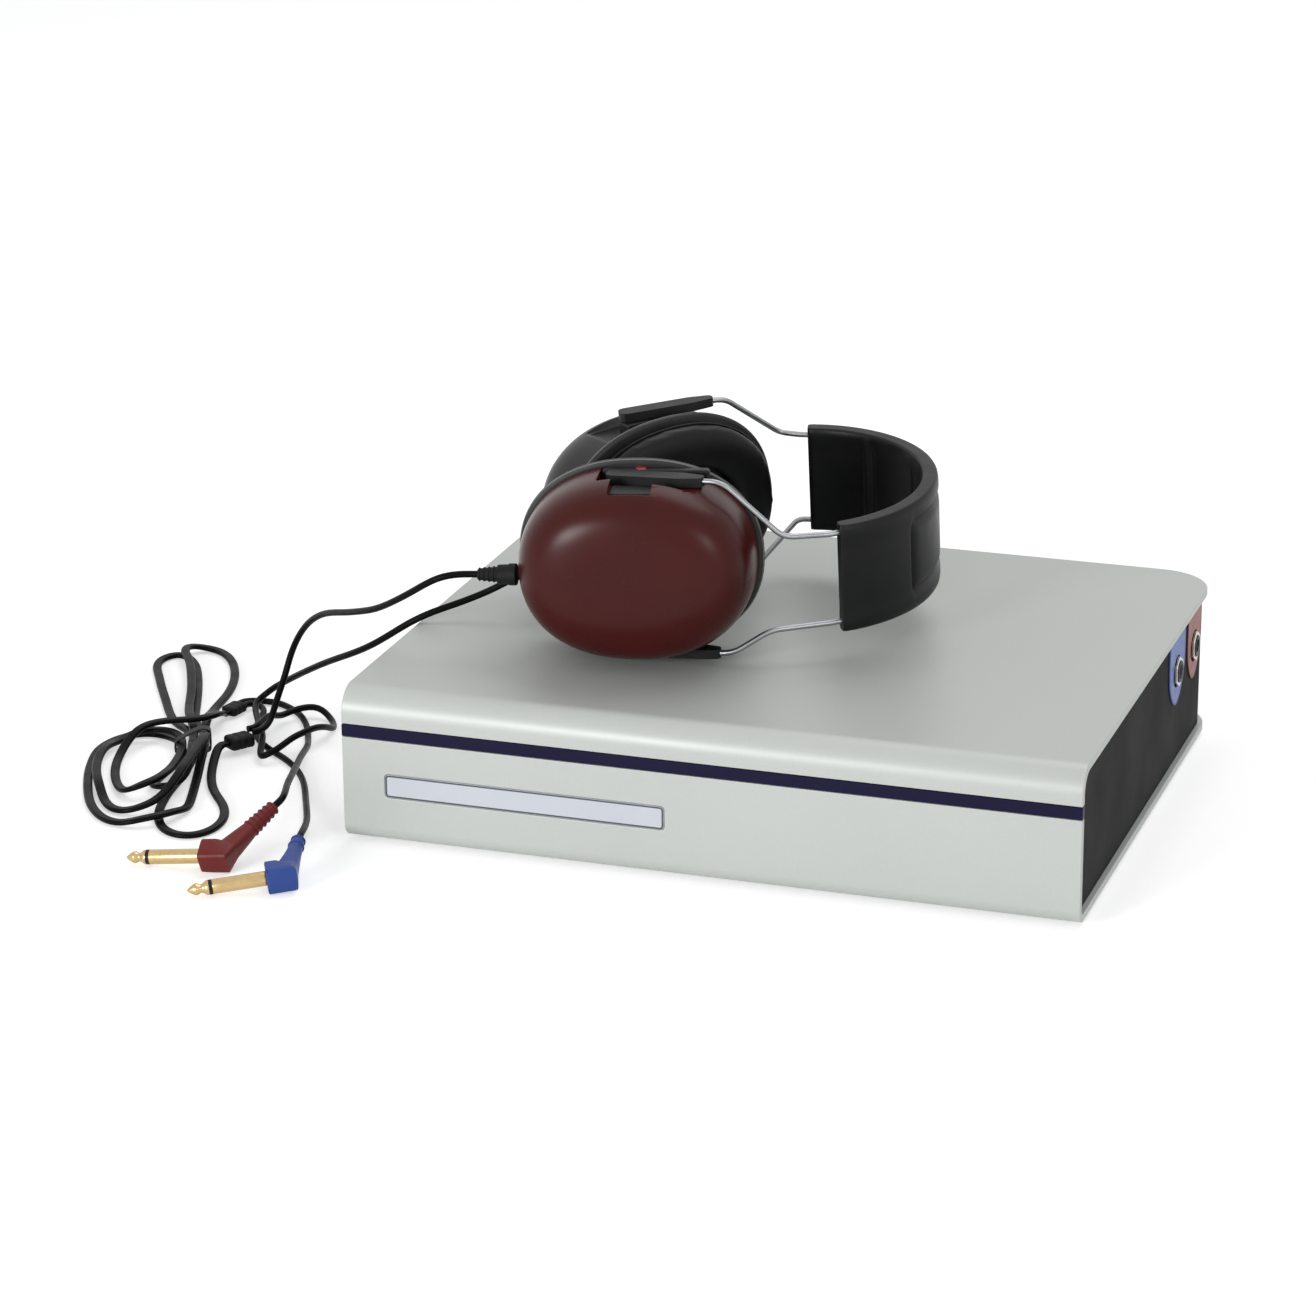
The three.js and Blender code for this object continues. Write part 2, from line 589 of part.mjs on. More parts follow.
// Headband pad and its two wires
const padMatrix = new THREE.Matrix4().makeRotationZ(rad(PAD_YAW));
padMatrix.multiply(new THREE.Matrix4().makeRotationX(rad(PAD_ROLL))).setPosition(vec(PAD_C));
function arcPoints(r, w, from, to, steps) {
  const out = [];
  for (let i = 0; i <= steps; i++) {
    const t = rad(from + ((to - from) * i) / steps);
    out.push(vec([r * Math.cos(t), r * Math.sin(t), w]));
  }
  return out;
}
const ARC_STEPS = 19;
const arcStep = (PAD_TO - PAD_FROM) / ARC_STEPS;
const padRings = [];
for (let i = 0; i <= ARC_STEPS; i++) {
  const t = rad(PAD_FROM + arcStep * i);
  const section = [];
  const corner = 2.6;
  for (let j = 0; j < 12; j++) {
    const quarter = Math.floor(j / 3);
    const a = rad(quarter * 90 + (j % 3) * 45);
    const cr = quarter === 0 || quarter === 3 ? 1 : -1;
    const cw = quarter < 2 ? 1 : -1;
    const r = PAD_R - PAD_T / 2 + cr * (PAD_T / 2 - corner) + corner * Math.cos(a);
    const w = cw * (PAD_HALF - corner) + corner * Math.sin(a);
    section.push([r * Math.cos(t), r * Math.sin(t), w]);
  }
  padRings.push(section);
}
const WIRE_ARC = PAD_R - PAD_T / 2;
let pad = loft(padRings);
[WIRE_W, -WIRE_W].forEach((w) => {
  const path = arcPoints(WIRE_ARC, w, PAD_FROM - arcStep, PAD_TO + arcStep, ARC_STEPS + 2);
  pad = pad.subtract(tube(path, WIRE_R + 0.4, 8));
});
place("headband_pad", pad, "black", padMatrix);

function wire(w, rightBends, leftBends) {
  const arc = arcPoints(WIRE_ARC, w, PAD_FROM, PAD_TO, ARC_STEPS).map((p) => p.applyMatrix4(padMatrix));
  const level = w > 0 ? 1 : -1;
  const blockLevel = (side) => level * (BLOCK_IN + BLOCK_OUT) / 2 + (w > 0 ? side.rise : -side.sag);
  const on = (side, b) => vec([b, 0, blockLevel(side)]).applyMatrix4(blockMatrix(side)).toArray();
  const endStep = (from, to) => to.clone().add(to.clone().sub(from).setLength(4));
  const before = endStep(arc[1], arc[0]);
  const after = endStep(arc[arc.length - 2], arc[arc.length - 1]);
  const head = rounded([on(RIGHT, WIRE_END_B), on(RIGHT, rightBends.b), rightBends.p, before.toArray(), arc[0].toArray()], 5);
  const tail = rounded([arc[arc.length - 1].toArray(), after.toArray(), leftBends.p, on(LEFT, leftBends.b), on(LEFT, WIRE_END_B)], 5);
  return tube([...head.slice(0, -1), ...arc, ...tail.slice(1)], WIRE_R, 8);
}
const upper = wire(WIRE_W, { b: 36, p: [8, -43.8, 123.8] }, { b: 33.6, p: [-28.8, 70.4, 134.3] });
const lower = wire(-WIRE_W, { b: 38.5, p: [3.2, -45.5, 82.3] }, { b: 42, p: [-21.5, 73, 92.5] });
put("upper_band_wire", upper, "steel", headset);
put("lower_band_wire", lower, "steel", headset);

// Cords. Hand-chosen points; a cord that crosses one laid before it climbs over it.
function glandOut(side, by) {
  const p = vec([side.gland[0] - GLAND_L - FIT - by, side.out * 6, side.gland[1]]);
  return p.applyMatrix4(cupMatrix(side)).add(vec([0, 0, FOOT_H])).toArray();
}

const laid = [];
function nearest(a, b, c, d) {
  // Plan distance between segments a-b and c-d.
  const cross = (p, q, r) => (q.x - p.x) * (r.y - p.y) - (q.y - p.y) * (r.x - p.x);
  if (cross(a, b, c) * cross(a, b, d) < 0 && cross(c, d, a) * cross(c, d, b) < 0) return 0;
  const reach = (p, q, r) => {
    const l = (r.x - q.x) ** 2 + (r.y - q.y) ** 2;
    const t = Math.min(1, Math.max(0, ((p.x - q.x) * (r.x - q.x) + (p.y - q.y) * (r.y - q.y)) / l));
    return Math.hypot(p.x - q.x - t * (r.x - q.x), p.y - q.y - t * (r.y - q.y));
  };
  return Math.min(reach(a, c, d), reach(b, c, d), reach(c, a, b), reach(d, a, b));
}

function lay(points, width, thick, step, slope = 0.42) {
  const start = points.map((p) => p.z);
  const lift = points.map(() => 0);
  const skip = Math.ceil(16 / step);
  const rounds = 7;
  for (let k = 0; k < rounds; k++) {
    for (let i = 0; i < points.length - 1; i++) {
      let need = 0;
      const a = points[i];
      const b = points[i + 1];
      const look = (c, d, w, t) => {
        if (Math.min(c.z, d.z) - (thick + t) / 2 - STRAND_GAP > Math.max(a.z, b.z)) return;
        if (Math.min(a.x, b.x) - 6 > Math.max(c.x, d.x) || Math.min(c.x, d.x) - 6 > Math.max(a.x, b.x)) return;
        if (nearest(a, b, c, d) < (width + w) / 2 + STRAND_GAP) {
          need = Math.max(need, Math.max(c.z, d.z) + (thick + t) / 2 + STRAND_GAP);
        }
      };
      laid.forEach((s) => {
        for (let j = 0; j < s.points.length - 1; j++) look(s.points[j], s.points[j + 1], s.width, s.thick);
      });
      for (let j = 0; j < i - skip; j++) look(points[j], points[j + 1], width, thick);
      lift[i] = Math.max(lift[i], need - start[i]);
      lift[i + 1] = Math.max(lift[i + 1], need - start[i + 1]);
      a.z = start[i] + lift[i];
      b.z = start[i + 1] + lift[i + 1];
    }
    for (let i = 1; i < points.length; i++) lift[i] = Math.max(lift[i], lift[i - 1] - slope * step);
    for (let i = points.length - 2; i >= 0; i--) lift[i] = Math.max(lift[i], lift[i + 1] - slope * step);
    points.forEach((p, i) => {
      p.z = start[i] + lift[i];
    });
  }
  laid.push({ points, width, thick });
  return points;
}

// The floor lists are drawn about a mark of their own, which lies here.
const MARK = [-1.8, 5.3];
const onFloor = (list, z) => list.map(([x, y, up]) => [x + MARK[0], y + MARK[1], up === undefined ? z : up]);
const TWIN_Z = TWIN_T / 2 + 0.25;
const CORD_Z = CORD_R + 0.15;
const TIE_Z = 2.9; // the strands' height where the tie passes under them
const SPLIT = { from: [-241.6, -44.8], to: [-248.1, -54.1], z: 5.2, half: 4.8, high: 3 };
const DIVIDE = { from: [-267.2, -11.5], to: [-265.2, -2], z: 3.2, half: 4, high: 2.2 };
const TIE = { at: [-262.9, -59.8], along: [-0.394, 0.919], half: 9.5, top: 13.3, wall: 1.2, length: 4.4 };
const HANK_STEP = 6.5;
const hankPoints = onFloor([
  [-248.3, -54.35, SPLIT.z], [-250.7, -57.8, SPLIT.z], [-249.5, -65, 4], [-243, -85], [-234, -102],
  [-222, -118], [-216, -134], [-218, -149], [-226, -154.5], [-237, -149],
  [-246, -134], [-252, -112], [-255, -90], [-258, -71, TIE_Z], [-264, -57, TIE_Z], [-270, -43, TIE_Z],
  [-287, -27], [-304, 0], [-319, 26], [-329, 47], [-324, 60], [-312, 50],
  [-300, 28], [-288, 0], [-278, -24], [-265.4, -41, TIE_Z], [-259.4, -55, TIE_Z], [-253.4, -69, TIE_Z],
  [-247, -92], [-240, -113], [-236, -130], [-241, -142], [-251, -149], [-263, -148],
  [-277, -135], [-291, -110], [-300, -88], [-305, -66], [-299, -48], [-289, -43],
  [-280, -46], [-273, -52, TIE_Z], [-267.4, -61.8, TIE_Z], [-262.6, -73, TIE_Z],
  [-264, -92], [-262, -106], [-254, -112], [-248, -102], [-252, -86], [-258, -71], [-264, -57], [-270, -43],
  [-282, -22], [-296, 12], [-312, 45], [-322, 62], [-313, 71], [-300, 63], [-286, 39], [-279, 15],
  [-276, -10], [-270, -28], [-265.4, -41], [-259.4, -55], [-253.4, -69],
  [-249, -92], [-246, -114], [-252, -133], [-265, -136], [-281, -118],
  [-295, -92], [-300, -68], [-294, -50], [-283, -48], [-273, -52], [-267.4, -61.8], [-262.6, -73],
  [-259, -92], [-257, -108], [-264, -120], [-276, -110], [-288, -88],
  [-293, -68], [-288, -50], [-279, -43], [-270, -39.5], [-264.6, -33], [-264.4, -25, 3.4],
  [-268.1, -15.9, DIVIDE.z], [-267.3, -11.85, DIVIDE.z],
], TWIN_Z);
const hank = lay(spaced(hankPoints, HANK_STEP), TWIN_W, TWIN_T, HANK_STEP);
put("twin_cord_hank", ribbon(hank, TWIN_W, TWIN_T), "black");

function slab(s) {
  const a = vec(onFloor([s.from], s.z)[0]);
  const b = vec(onFloor([s.to], s.z)[0]);
  const g = new THREE.BoxGeometry(2 * s.half, a.distanceTo(b), 2 * s.high);
  g.rotateZ(Math.atan2(b.y - a.y, b.x - a.x) - Math.PI / 2);
  g.translate((a.x + b.x) / 2, (a.y + b.y) / 2, s.z);
  return solid(g);
}
put("cord_splitter", slab(SPLIT), "black");
put("tail_divider", slab(DIVIDE), "black");

function tieShape() {
  const frameShape = new THREE.Shape();
  const round = (path, h, low, high, c) => {
    path.moveTo(-h + c, low);
    path.lineTo(h - c, low);
    path.lineTo(h, low + c);
    path.lineTo(h, high - c);
    path.lineTo(h - c, high);
    path.lineTo(-h + c, high);
    path.lineTo(-h, high - c);
    path.lineTo(-h, low + c);
    path.closePath();
    return path;
  };
  round(frameShape, TIE.half, 0.05, TIE.top, 1.4);
  frameShape.holes.push(round(new THREE.Path(), TIE.half - TIE.wall, 0.05 + TIE.wall, TIE.top - TIE.wall, 0.8));
  const g = new THREE.ExtrudeGeometry(frameShape, { depth: TIE.length, bevelEnabled: false });
  g.translate(0, 0, -TIE.length / 2);
  const along = vec([TIE.along[0], TIE.along[1], 0]).normalize();
  const side = vec([0, 0, 1]).cross(along);
  const at = vec([TIE.at[0] + MARK[0], TIE.at[1] + MARK[1], 0]);
  g.applyMatrix4(new THREE.Matrix4().makeBasis(side, vec([0, 0, 1]), side.clone().cross(vec([0, 0, 1]))).setPosition(at));
  return solid(g);
}
put("hank_tie", tieShape(), "black");

// Angled 6.35 mm plugs: a round contact, a moulded body and a boot that bends away from it.
const SHAFT_L = 31.4;
const ELBOW_L = 42;
const PLUGS = {
  red: { tip: [-234.6, -186.8, 3.3], elbow: [-194.4, -181.3, 6.9], boot: [-182.6, -153.8, 20] },
  blue: { tip: [-195.4, -212, 3.3], elbow: [-160.8, -193.1, 6.9], boot: [-167.9, -162.8, 9.9] },
};
function between(a, b, low, high, r0, r1, sides) {
  const g = new THREE.CylinderGeometry(r1, r0, high - low, sides);
  g.translate(0, (low + high) / 2, 0);
  const turn = new THREE.Quaternion().setFromUnitVectors(vec([0, 1, 0]), b.clone().sub(a).normalize());
  g.applyQuaternion(turn);
  g.translate(a.x, a.y, a.z);
  return solid(g);
}
const bootEnds = {};
Object.entries(PLUGS).forEach(([name, s]) => {
  const [tip, elbow, boot] = onFloor([s.tip, s.elbow, s.boot], 0).map(vec);
  const far = boot.distanceTo(elbow);
  const profile = [[0, 1.9, 0.7, 2.5], [1.8, 4.6, 2.5, 2.1], [4.4, 6.2, 2.1, 3.1], [6, SHAFT_L - FIT, 3.15, 3.15]];
  let contact = null;
  profile.forEach(([low, high, r0, r1]) => {
    const piece = between(tip, elbow, low, high, r0, r1, 14);
    contact = contact ? contact.add(piece) : piece;
  });
  put(name + "_plug_contact", contact, "gold");
  let body = between(tip, elbow, SHAFT_L, tip.distanceTo(elbow), 5.9, 5.9, 14);
  const knee = new THREE.SphereGeometry(5.9, 14, 8);
  knee.translate(elbow.x, elbow.y, elbow.z);
  body = body.add(solid(knee)).add(between(elbow, boot, 0, far, 5.8, 2.8, 14));
  put(name + "_plug_body", body, name);
  bootEnds[name] = { at: boot, along: boot.clone().sub(elbow).normalize() };
});
const bootOut = (name, by) => bootEnds[name].at.clone().addScaledVector(bootEnds[name].along, by).toArray();

// A round cord: its own hand-chosen points, laid over what is already there.
function cord(name, list, step = 7.5) {
  const line = lay(spaced(list, step), 2 * CORD_R, 2 * CORD_R, step);
  put(name, tube(line, CORD_R, 8), "black");
  console.log(name, line.reduce((s, p, i) => (i ? s + p.distanceTo(line[i - 1]) : 0), 0).toFixed(0));
  return line;
}
const ends = (s, side, by, z) => {
  const a = vec([s.from[0], s.from[1], 0]);
  const b = vec([s.to[0], s.to[1], 0]);
  const t = b.sub(a).normalize();
  return [s.from[0] + t.y * -side - t.x * by, s.from[1] + t.x * side - t.y * by, z];
};
const farEnds = (s, side, by, z) => ends({ from: s.to, to: s.from }, side, by, z);

cord("blue_tail_cord", [
  ...onFloor([farEnds(DIVIDE, 1.9, 0.3, DIVIDE.z), farEnds(DIVIDE, 1.9, 4, DIVIDE.z)], 0),
  ...onFloor([[-259.4, 4.6, 2.4], [-254.4, 1], [-252, -8], [-249.4, -20], [-245.4, -30.5], [-239.8, -38.5], [-232.4, -46]], CORD_Z),
  ...onFloor([[-221, -55], [-211, -65], [-202, -78], [-190, -103, 2.5], [-178.5, -129, 5.5], [-173, -144, 8.3]], CORD_Z),
  bootOut("blue", 5), bootOut("blue", 0.3),
]);
cord("red_tail_cord", [
  ...onFloor([farEnds(DIVIDE, -1.9, 0.3, DIVIDE.z), farEnds(DIVIDE, -1.9, 4, DIVIDE.z)], 0),
  ...onFloor([[-265, 6, 2.8], [-260, 10.6], [-252.5, 10.8], [-244.7, 6.4], [-236, -1], [-226.9, -14.5], [-218.5, -33, 2.5]], CORD_Z),
  ...onFloor([[-211.6, -50, 6.5], [-203.5, -76, 12], [-194.5, -104, 17], [-187.3, -128, 20.5]], CORD_Z),
  bootOut("red", 5), bootOut("red", 0.3),
]);
cord("left_cup_cord", [
  glandOut(LEFT, 0), glandOut(LEFT, 4),
  [-130, -28, 83.5], [-141, -32, 78.6], [-158.8, -40.5, 72], [-183, -40, 56], [-214, -22, 38], [-242, 1, 19],
  ...onFloor([[-254, 2, 9], [-257, -3, 4], [-252, -14], [-245, -27], [-238, -39], [-234, -49], [-231, -59], [-227, -63]], CORD_Z),
  ...onFloor([[-221, -54], [-215, -37], [-213, -19], [-218, -5], [-228, 3], [-236, -3], [-241, -20]], CORD_Z),
  ...onFloor([[-241.5, -32, 5.2], ends(SPLIT, -2.3, 4, SPLIT.z), ends(SPLIT, -2.3, 0.3, SPLIT.z)], CORD_Z),
]);
cord("right_cup_cord", [
  glandOut(RIGHT, 0), glandOut(RIGHT, 4),
  [-132, -77.5, 105.6], [-139.5, -78, 102], [-153, -73, 92.8], [-170.3, -63, 82], [-187, -50, 74.4], [-213.1, -26, 62.4],
  [-227, -14, 50.1], [-234.2, -11, 37.7], [-236.5, -14, 27], [-238, -21, 17.5],
  ...onFloor([[-236.5, -34.5, 9], ends(SPLIT, 2.3, 4, SPLIT.z), ends(SPLIT, 2.3, 0.3, SPLIT.z)], CORD_Z),
]);

export default root;
// The least gap between strands of the hank, measured on the points of its rings.
function leastGap(mesh, sides, apart) {
  const p = mesh.geometry.getAttribute("position");
  const rings = [];
  for (let i = 0; i < p.count; i++) {
    const key = [p.getX(i), p.getY(i), p.getZ(i)].map((v) => v.toFixed(3)).join(" ");
    rings.push(key);
  }
  const points = [...new Set(rings)].map((k) => vec(k.split(" ").map(Number)));
  let best = 99;
  const at = points.map((q) => {
    let near = 0;
    hank.forEach((h, i) => {
      if (h.distanceToSquared(q) < hank[near].distanceToSquared(q)) near = i;
    });
    return near;
  });
  points.forEach((a, i) => {
    for (let j = i + 1; j < points.length; j++) {
      if (Math.abs(at[i] - at[j]) >= apart) best = Math.min(best, a.distanceTo(points[j]));
    }
  });
  return best;
}
const hankMesh = root.getObjectByName("twin_cord_hank");
console.log("least gap in the hank", leastGap(hankMesh, 6, 4).toFixed(2), "mm");
console.log("hank length", hank.reduce((s, p, i) => (i ? s + p.distanceTo(hank[i - 1]) : 0), 0).toFixed(0), "mm");
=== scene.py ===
# Audiometer: a flat painted case with sound-excluding earphones lying on it, their cord tied in a
# hank, and two angled phone plugs. Sizes are in millimetres here and become metres in piece().
import bpy
import bmesh
import json
import math
from mathutils import Matrix, Vector

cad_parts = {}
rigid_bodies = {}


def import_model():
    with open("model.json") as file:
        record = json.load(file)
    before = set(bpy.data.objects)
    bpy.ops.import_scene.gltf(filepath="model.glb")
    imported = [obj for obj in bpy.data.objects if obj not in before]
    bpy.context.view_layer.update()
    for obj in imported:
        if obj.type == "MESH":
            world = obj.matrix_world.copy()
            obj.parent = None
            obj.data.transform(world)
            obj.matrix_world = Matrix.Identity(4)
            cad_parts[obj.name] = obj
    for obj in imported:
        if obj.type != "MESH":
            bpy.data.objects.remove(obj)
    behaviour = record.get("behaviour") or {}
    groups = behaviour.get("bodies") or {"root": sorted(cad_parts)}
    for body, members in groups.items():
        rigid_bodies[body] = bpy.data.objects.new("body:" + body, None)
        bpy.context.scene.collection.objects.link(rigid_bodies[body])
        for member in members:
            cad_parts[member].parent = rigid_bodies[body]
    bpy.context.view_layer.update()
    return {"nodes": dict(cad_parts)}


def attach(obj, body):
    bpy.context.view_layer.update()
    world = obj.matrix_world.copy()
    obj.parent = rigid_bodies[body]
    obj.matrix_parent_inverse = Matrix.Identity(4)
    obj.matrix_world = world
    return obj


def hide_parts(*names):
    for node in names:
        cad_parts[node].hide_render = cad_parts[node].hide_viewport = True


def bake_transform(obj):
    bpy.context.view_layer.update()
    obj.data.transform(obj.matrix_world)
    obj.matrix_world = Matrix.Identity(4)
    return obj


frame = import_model()
scene = bpy.context.scene
for old in [o for o in scene.objects if o.name in ("Cube", "Light", "Camera")]:
    bpy.data.objects.remove(old)
scene.view_settings.view_transform = "Standard"
MM = 0.001

# ---------------------------------------------------------------- camera, light and floor

cam = bpy.data.cameras.new("camera")
cam.lens = 119.82
cam.sensor_width = 36
cam.clip_end = 60
eye = bpy.data.objects.new("camera", cam)
scene.collection.objects.link(eye)
eye.matrix_world = Matrix((
    (0.9479664, -0.100817, 0.3018308, 0.5211624),
    (0.3181467, 0.3189426, -0.8927695, -1.7277588),
    (-0.0062604, 0.942342, 0.334456, 0.6965791),
    (0, 0, 0, 1),
))
scene.camera = eye


def linear(code):
    """An sRGB hex value as the linear colour that the nodes use."""
    parts = [int(code[i:i + 2], 16) / 255 for i in (0, 2, 4)]
    return [p / 12.92 if p <= 0.04045 else ((p + 0.055) / 1.055) ** 2.4 for p in parts] + [1]


def add(tree, kind, values=None, links=None, **settings):
    """Adds one node: its settings, the values of its inputs and the sockets linked into them."""
    made = tree.nodes.new(kind)
    for key, value in settings.items():
        setattr(made, key, value)
    for key, value in (values or {}).items():
        made.inputs[key].default_value = value
    for key, socket in (links or {}).items():
        tree.links.new(socket, made.inputs[key])
    return made


def lamp(name, place, aim, size, watts):
    """A white softbox of the given size in metres, turned to its aim."""
    data = bpy.data.lights.new(name, "AREA")
    data.shape = "RECTANGLE"
    data.size, data.size_y = size
    data.energy = watts
    made = bpy.data.objects.new(name, data)
    scene.collection.objects.link(made)
    made.location = place
    made.rotation_euler = (Vector(aim) - Vector(place)).to_track_quat("-Z", "Y").to_euler()


def white_rays(tree):
    """1 on the rays that show the white background: those of the camera, gloss and glass."""
    ray = add(tree, "ShaderNodeLightPath")
    seen = ray.outputs["Is Camera Ray"]
    for kind in ("Is Glossy Ray", "Is Transmission Ray"):
        more = add(tree, "ShaderNodeMath", links={0: seen, 1: ray.outputs[kind]}, operation="MAXIMUM")
        seen = more.outputs[0]
    return seen


lamp("key_softbox", (-0.95, -2.2, 0.62), (-0.05, 0, 0.08), (0.7, 0.6), 26.5)
lamp("fill_softbox", (1.75, -1.6, 0.8), (0, 0, 0.06), (0.4, 0.4), 7)
lamp("top_softbox", (0.35, 0.95, 2.1), (0.05, 0, 0.05), (1.8, 1.2), 15.5)

world = bpy.data.worlds.new("studio")
world.use_nodes = True
scene.world = world
wt = world.node_tree
wt.nodes.clear()
plain = add(wt, "ShaderNodeBackground", {"Color": (0.98, 0.99, 1, 1), "Strength": 0.36})
white = add(wt, "ShaderNodeBackground", {"Color": (1, 1, 1, 1), "Strength": 1.0})
both = add(wt, "ShaderNodeMixShader", links={0: white_rays(wt), 1: plain.outputs[0], 2: white.outputs[0]})
add(wt, "ShaderNodeOutputWorld", links={"Surface": both.outputs[0]})

# ---------------------------------------------------------------- materials


def start(name):
    """An empty material with its shader: the tree, the shader and the place of each point."""
    made = bpy.data.materials.new(name)
    made.use_nodes = True
    tree = made.node_tree
    tree.nodes.clear()
    shader = add(tree, "ShaderNodeBsdfPrincipled")
    add(tree, "ShaderNodeOutputMaterial", links={"Surface": shader.outputs[0]})
    place = add(tree, "ShaderNodeTexCoord").outputs["Object"]
    return made, tree, shader, place


def surface(name, low, high, patch, rough, grain, depth, sockets=None, detail=3.0):
    """Colour that drifts between two tones over patch mm, roughness between two values, and a
    grain of the given size and depth in mm."""
    made, tree, shader, place = start(name)
    drift = add(tree, "ShaderNodeTexNoise", {"Scale": 1 / (patch * MM), "Detail": 4.0}, {"Vector": place})
    tone = add(tree, "ShaderNodeMix", {6: linear(low), 7: linear(high)}, {0: drift.outputs["Fac"]},
               data_type="RGBA")
    tree.links.new(tone.outputs[2], shader.inputs["Base Color"])
    worn = add(tree, "ShaderNodeMapRange",
               {"From Min": 0.3, "From Max": 0.7, "To Min": rough[0], "To Max": rough[1]},
               {"Value": drift.outputs["Fac"]})
    tree.links.new(worn.outputs[0], shader.inputs["Roughness"])
    fine = add(tree, "ShaderNodeTexNoise", {"Scale": 1 / (grain * MM), "Detail": detail}, {"Vector": place})
    bump = add(tree, "ShaderNodeBump", {"Strength": 1.0, "Distance": depth * MM},
               {"Height": fine.outputs["Fac"]})
    tree.links.new(bump.outputs[0], shader.inputs["Normal"])
    for key, value in (sockets or {}).items():
        shader.inputs[key].default_value = value
    return made, tree, shader, place, bump, tone


def look(*values, gloss=0.5, metal=0.0, detail=3.0):
    """A material that is a surface with nothing further on it."""
    return surface(*values, {"Specular IOR Level": gloss, "Metallic": metal}, detail)[0]


def relief(tree, shader, grain, height, depth, strength):
    """A further relief, depth mm deep, over the grain of a surface."""
    over = add(tree, "ShaderNodeBump", {"Strength": strength, "Distance": depth * MM},
               {"Height": height, "Normal": grain.outputs[0]})
    tree.links.new(over.outputs[0], shader.inputs["Normal"])


# Powder-coated sheet steel: an even satin with a faint orange peel and a trace of metal flake.
paint, tree, shader, place, bump, tone = surface(
    "powder_coated_sheet_steel", "c4c8c4", "cdd1cd", 90, (0.36, 0.44), 1.4, 0.012,
    {"Metallic": 0.1, "Specular IOR Level": 0.3})
flake = add(tree, "ShaderNodeTexVoronoi", {"Scale": 1 / (0.45 * MM)}, {"Vector": place})
glint = add(tree, "ShaderNodeMix", {0: 0.05}, {6: tone.outputs[2], 7: flake.outputs["Color"]},
            data_type="RGBA", blend_type="SOFT_LIGHT")
tree.links.new(glint.outputs[2], shader.inputs["Base Color"])

# Dark powder coat on the inner wall: matt, with a fine texture that breaks the light up.
wall_coat = look("textured_dark_powder_coat", "161617", "1d1d1e", 40, (0.6, 0.72), 0.7, 0.03, gloss=0.07)

# Navy ABS strip between the covers: smooth, slightly glossy.
strip_abs = look("navy_abs", "171632", "1d1c3a", 35, (0.34, 0.42), 0.9, 0.006, gloss=0.1)

# Polished burgundy ABS of the cup: deep gloss, faint waviness of the moulding.
cup_abs = look("burgundy_abs", "3e0f0d", "471210", 30, (0.25, 0.33), 22, 0.012, gloss=0.19, detail=0.5)
# The same moulding in black on the far side.
black_cup_abs = look("black_abs_gloss", "18181a", "1f1f22", 30, (0.28, 0.36), 22, 0.03,
                     gloss=0.2, detail=0.5)

# Black glass-filled nylon: sliders, pins, sockets; satin, with the fine grain of an etched mould.
nylon = look("black_nylon", "141415", "1c1c1d", 12, (0.42, 0.54), 0.55, 0.02, gloss=0.22)

# Dark grey ABS of the cup rims: moulded, satin.
rim_abs = look("dark_grey_abs", "242524", "2d2e2d", 12, (0.36, 0.46), 0.7, 0.01, gloss=0.3)
# The rim's bead, in light grey ABS: a painted highlight, the light line along the rim's rounded edge.
rim_highlight_abs = look("light_grey_abs", "6f7471", "7d827f", 8, (0.3, 0.4), 0.7, 0.01, gloss=0.4)

# Expanded vinyl on the cushions and the headband: soft sheen, leather-like pebbles about 0.9 mm
# across, drawn a little coarse so that they show.
vinyl, tree, shader, place, bump, tone = surface(
    "black_vinyl", "0d0d0e", "141415", 14, (0.36, 0.46), 3.2, 0.03, {"Specular IOR Level": 0.22})
pebble = add(tree, "ShaderNodeTexVoronoi", {"Scale": 1 / (0.9 * MM)}, {"Vector": place},
             feature="DISTANCE_TO_EDGE")
relief(tree, shader, bump, pebble.outputs["Distance"], 0.05, 0.5)

# Knitted cover of the foam in the cups: matt rows of stitches. A wave repeats after 0.314 of its
# scale, so the rows lie 2 mm apart, twice as coarse as in life, so that they show.
STITCH = 6.3
knit, tree, shader, place, bump, tone = surface(
    "knitted_polyester", "0d0d0f", "17171a", 6, (0.8, 0.95), 0.6, 0.03, {"Sheen Weight": 0.3})
rows, wales = [
    add(tree, "ShaderNodeTexWave", {"Scale": 1 / (STITCH * MM), "Distortion": 1.2}, {"Vector": place},
        bands_direction=way) for way in ("Z", "X")]
loops = add(tree, "ShaderNodeMath", links={0: rows.outputs["Fac"], 1: wales.outputs["Fac"]},
            operation="MULTIPLY")
relief(tree, shader, bump, loops.outputs[0], 0.2, 0.8)

# PVC of the cords: black, glossy, slightly uneven from the extruder.
cord_pvc = look("black_pvc_cord", "09090a", "0f0f10", 9, (0.3, 0.42), 5, 0.08, gloss=0.07)
# Rubber of the strain reliefs, splitters and feet: matt, a little dusty.
rubber = look("black_rubber", "101011", "191919", 7, (0.6, 0.75), 0.8, 0.03, gloss=0.2)

# Spring steel wire of the headband: drawn and polished, an even grey shine.
spring = look("drawn_spring_steel", "8b8d8f", "a0a2a4", 5, (0.3, 0.4), 0.5, 0.002, metal=1.0)
# Nickel plate on the nuts, the mains pins and the data socket: bright, slightly warm.
nickel = look("nickel_plate", "b3b1aa", "c7c5be", 6, (0.18, 0.3), 0.5, 0.006, metal=1.0)
# Gold flash on turned brass: bright and warm.
gold = look("gold_flashed_brass", "bea271", "cfb78a", 3, (0.24, 0.34), 0.5, 0.0015, metal=1.0)

# Flexible PVC of the plug bodies: satin, with a soft moulded skin.
red_pvc, blue_pvc = [
    look(name, low, high, 7, (0.38, 0.5), 0.8, 0.03, gloss=0.25)
    for name, low, high in (("dark_red_pvc", "661d1b", "732422"), ("blue_pvc", "2f488c", "38529a"))]
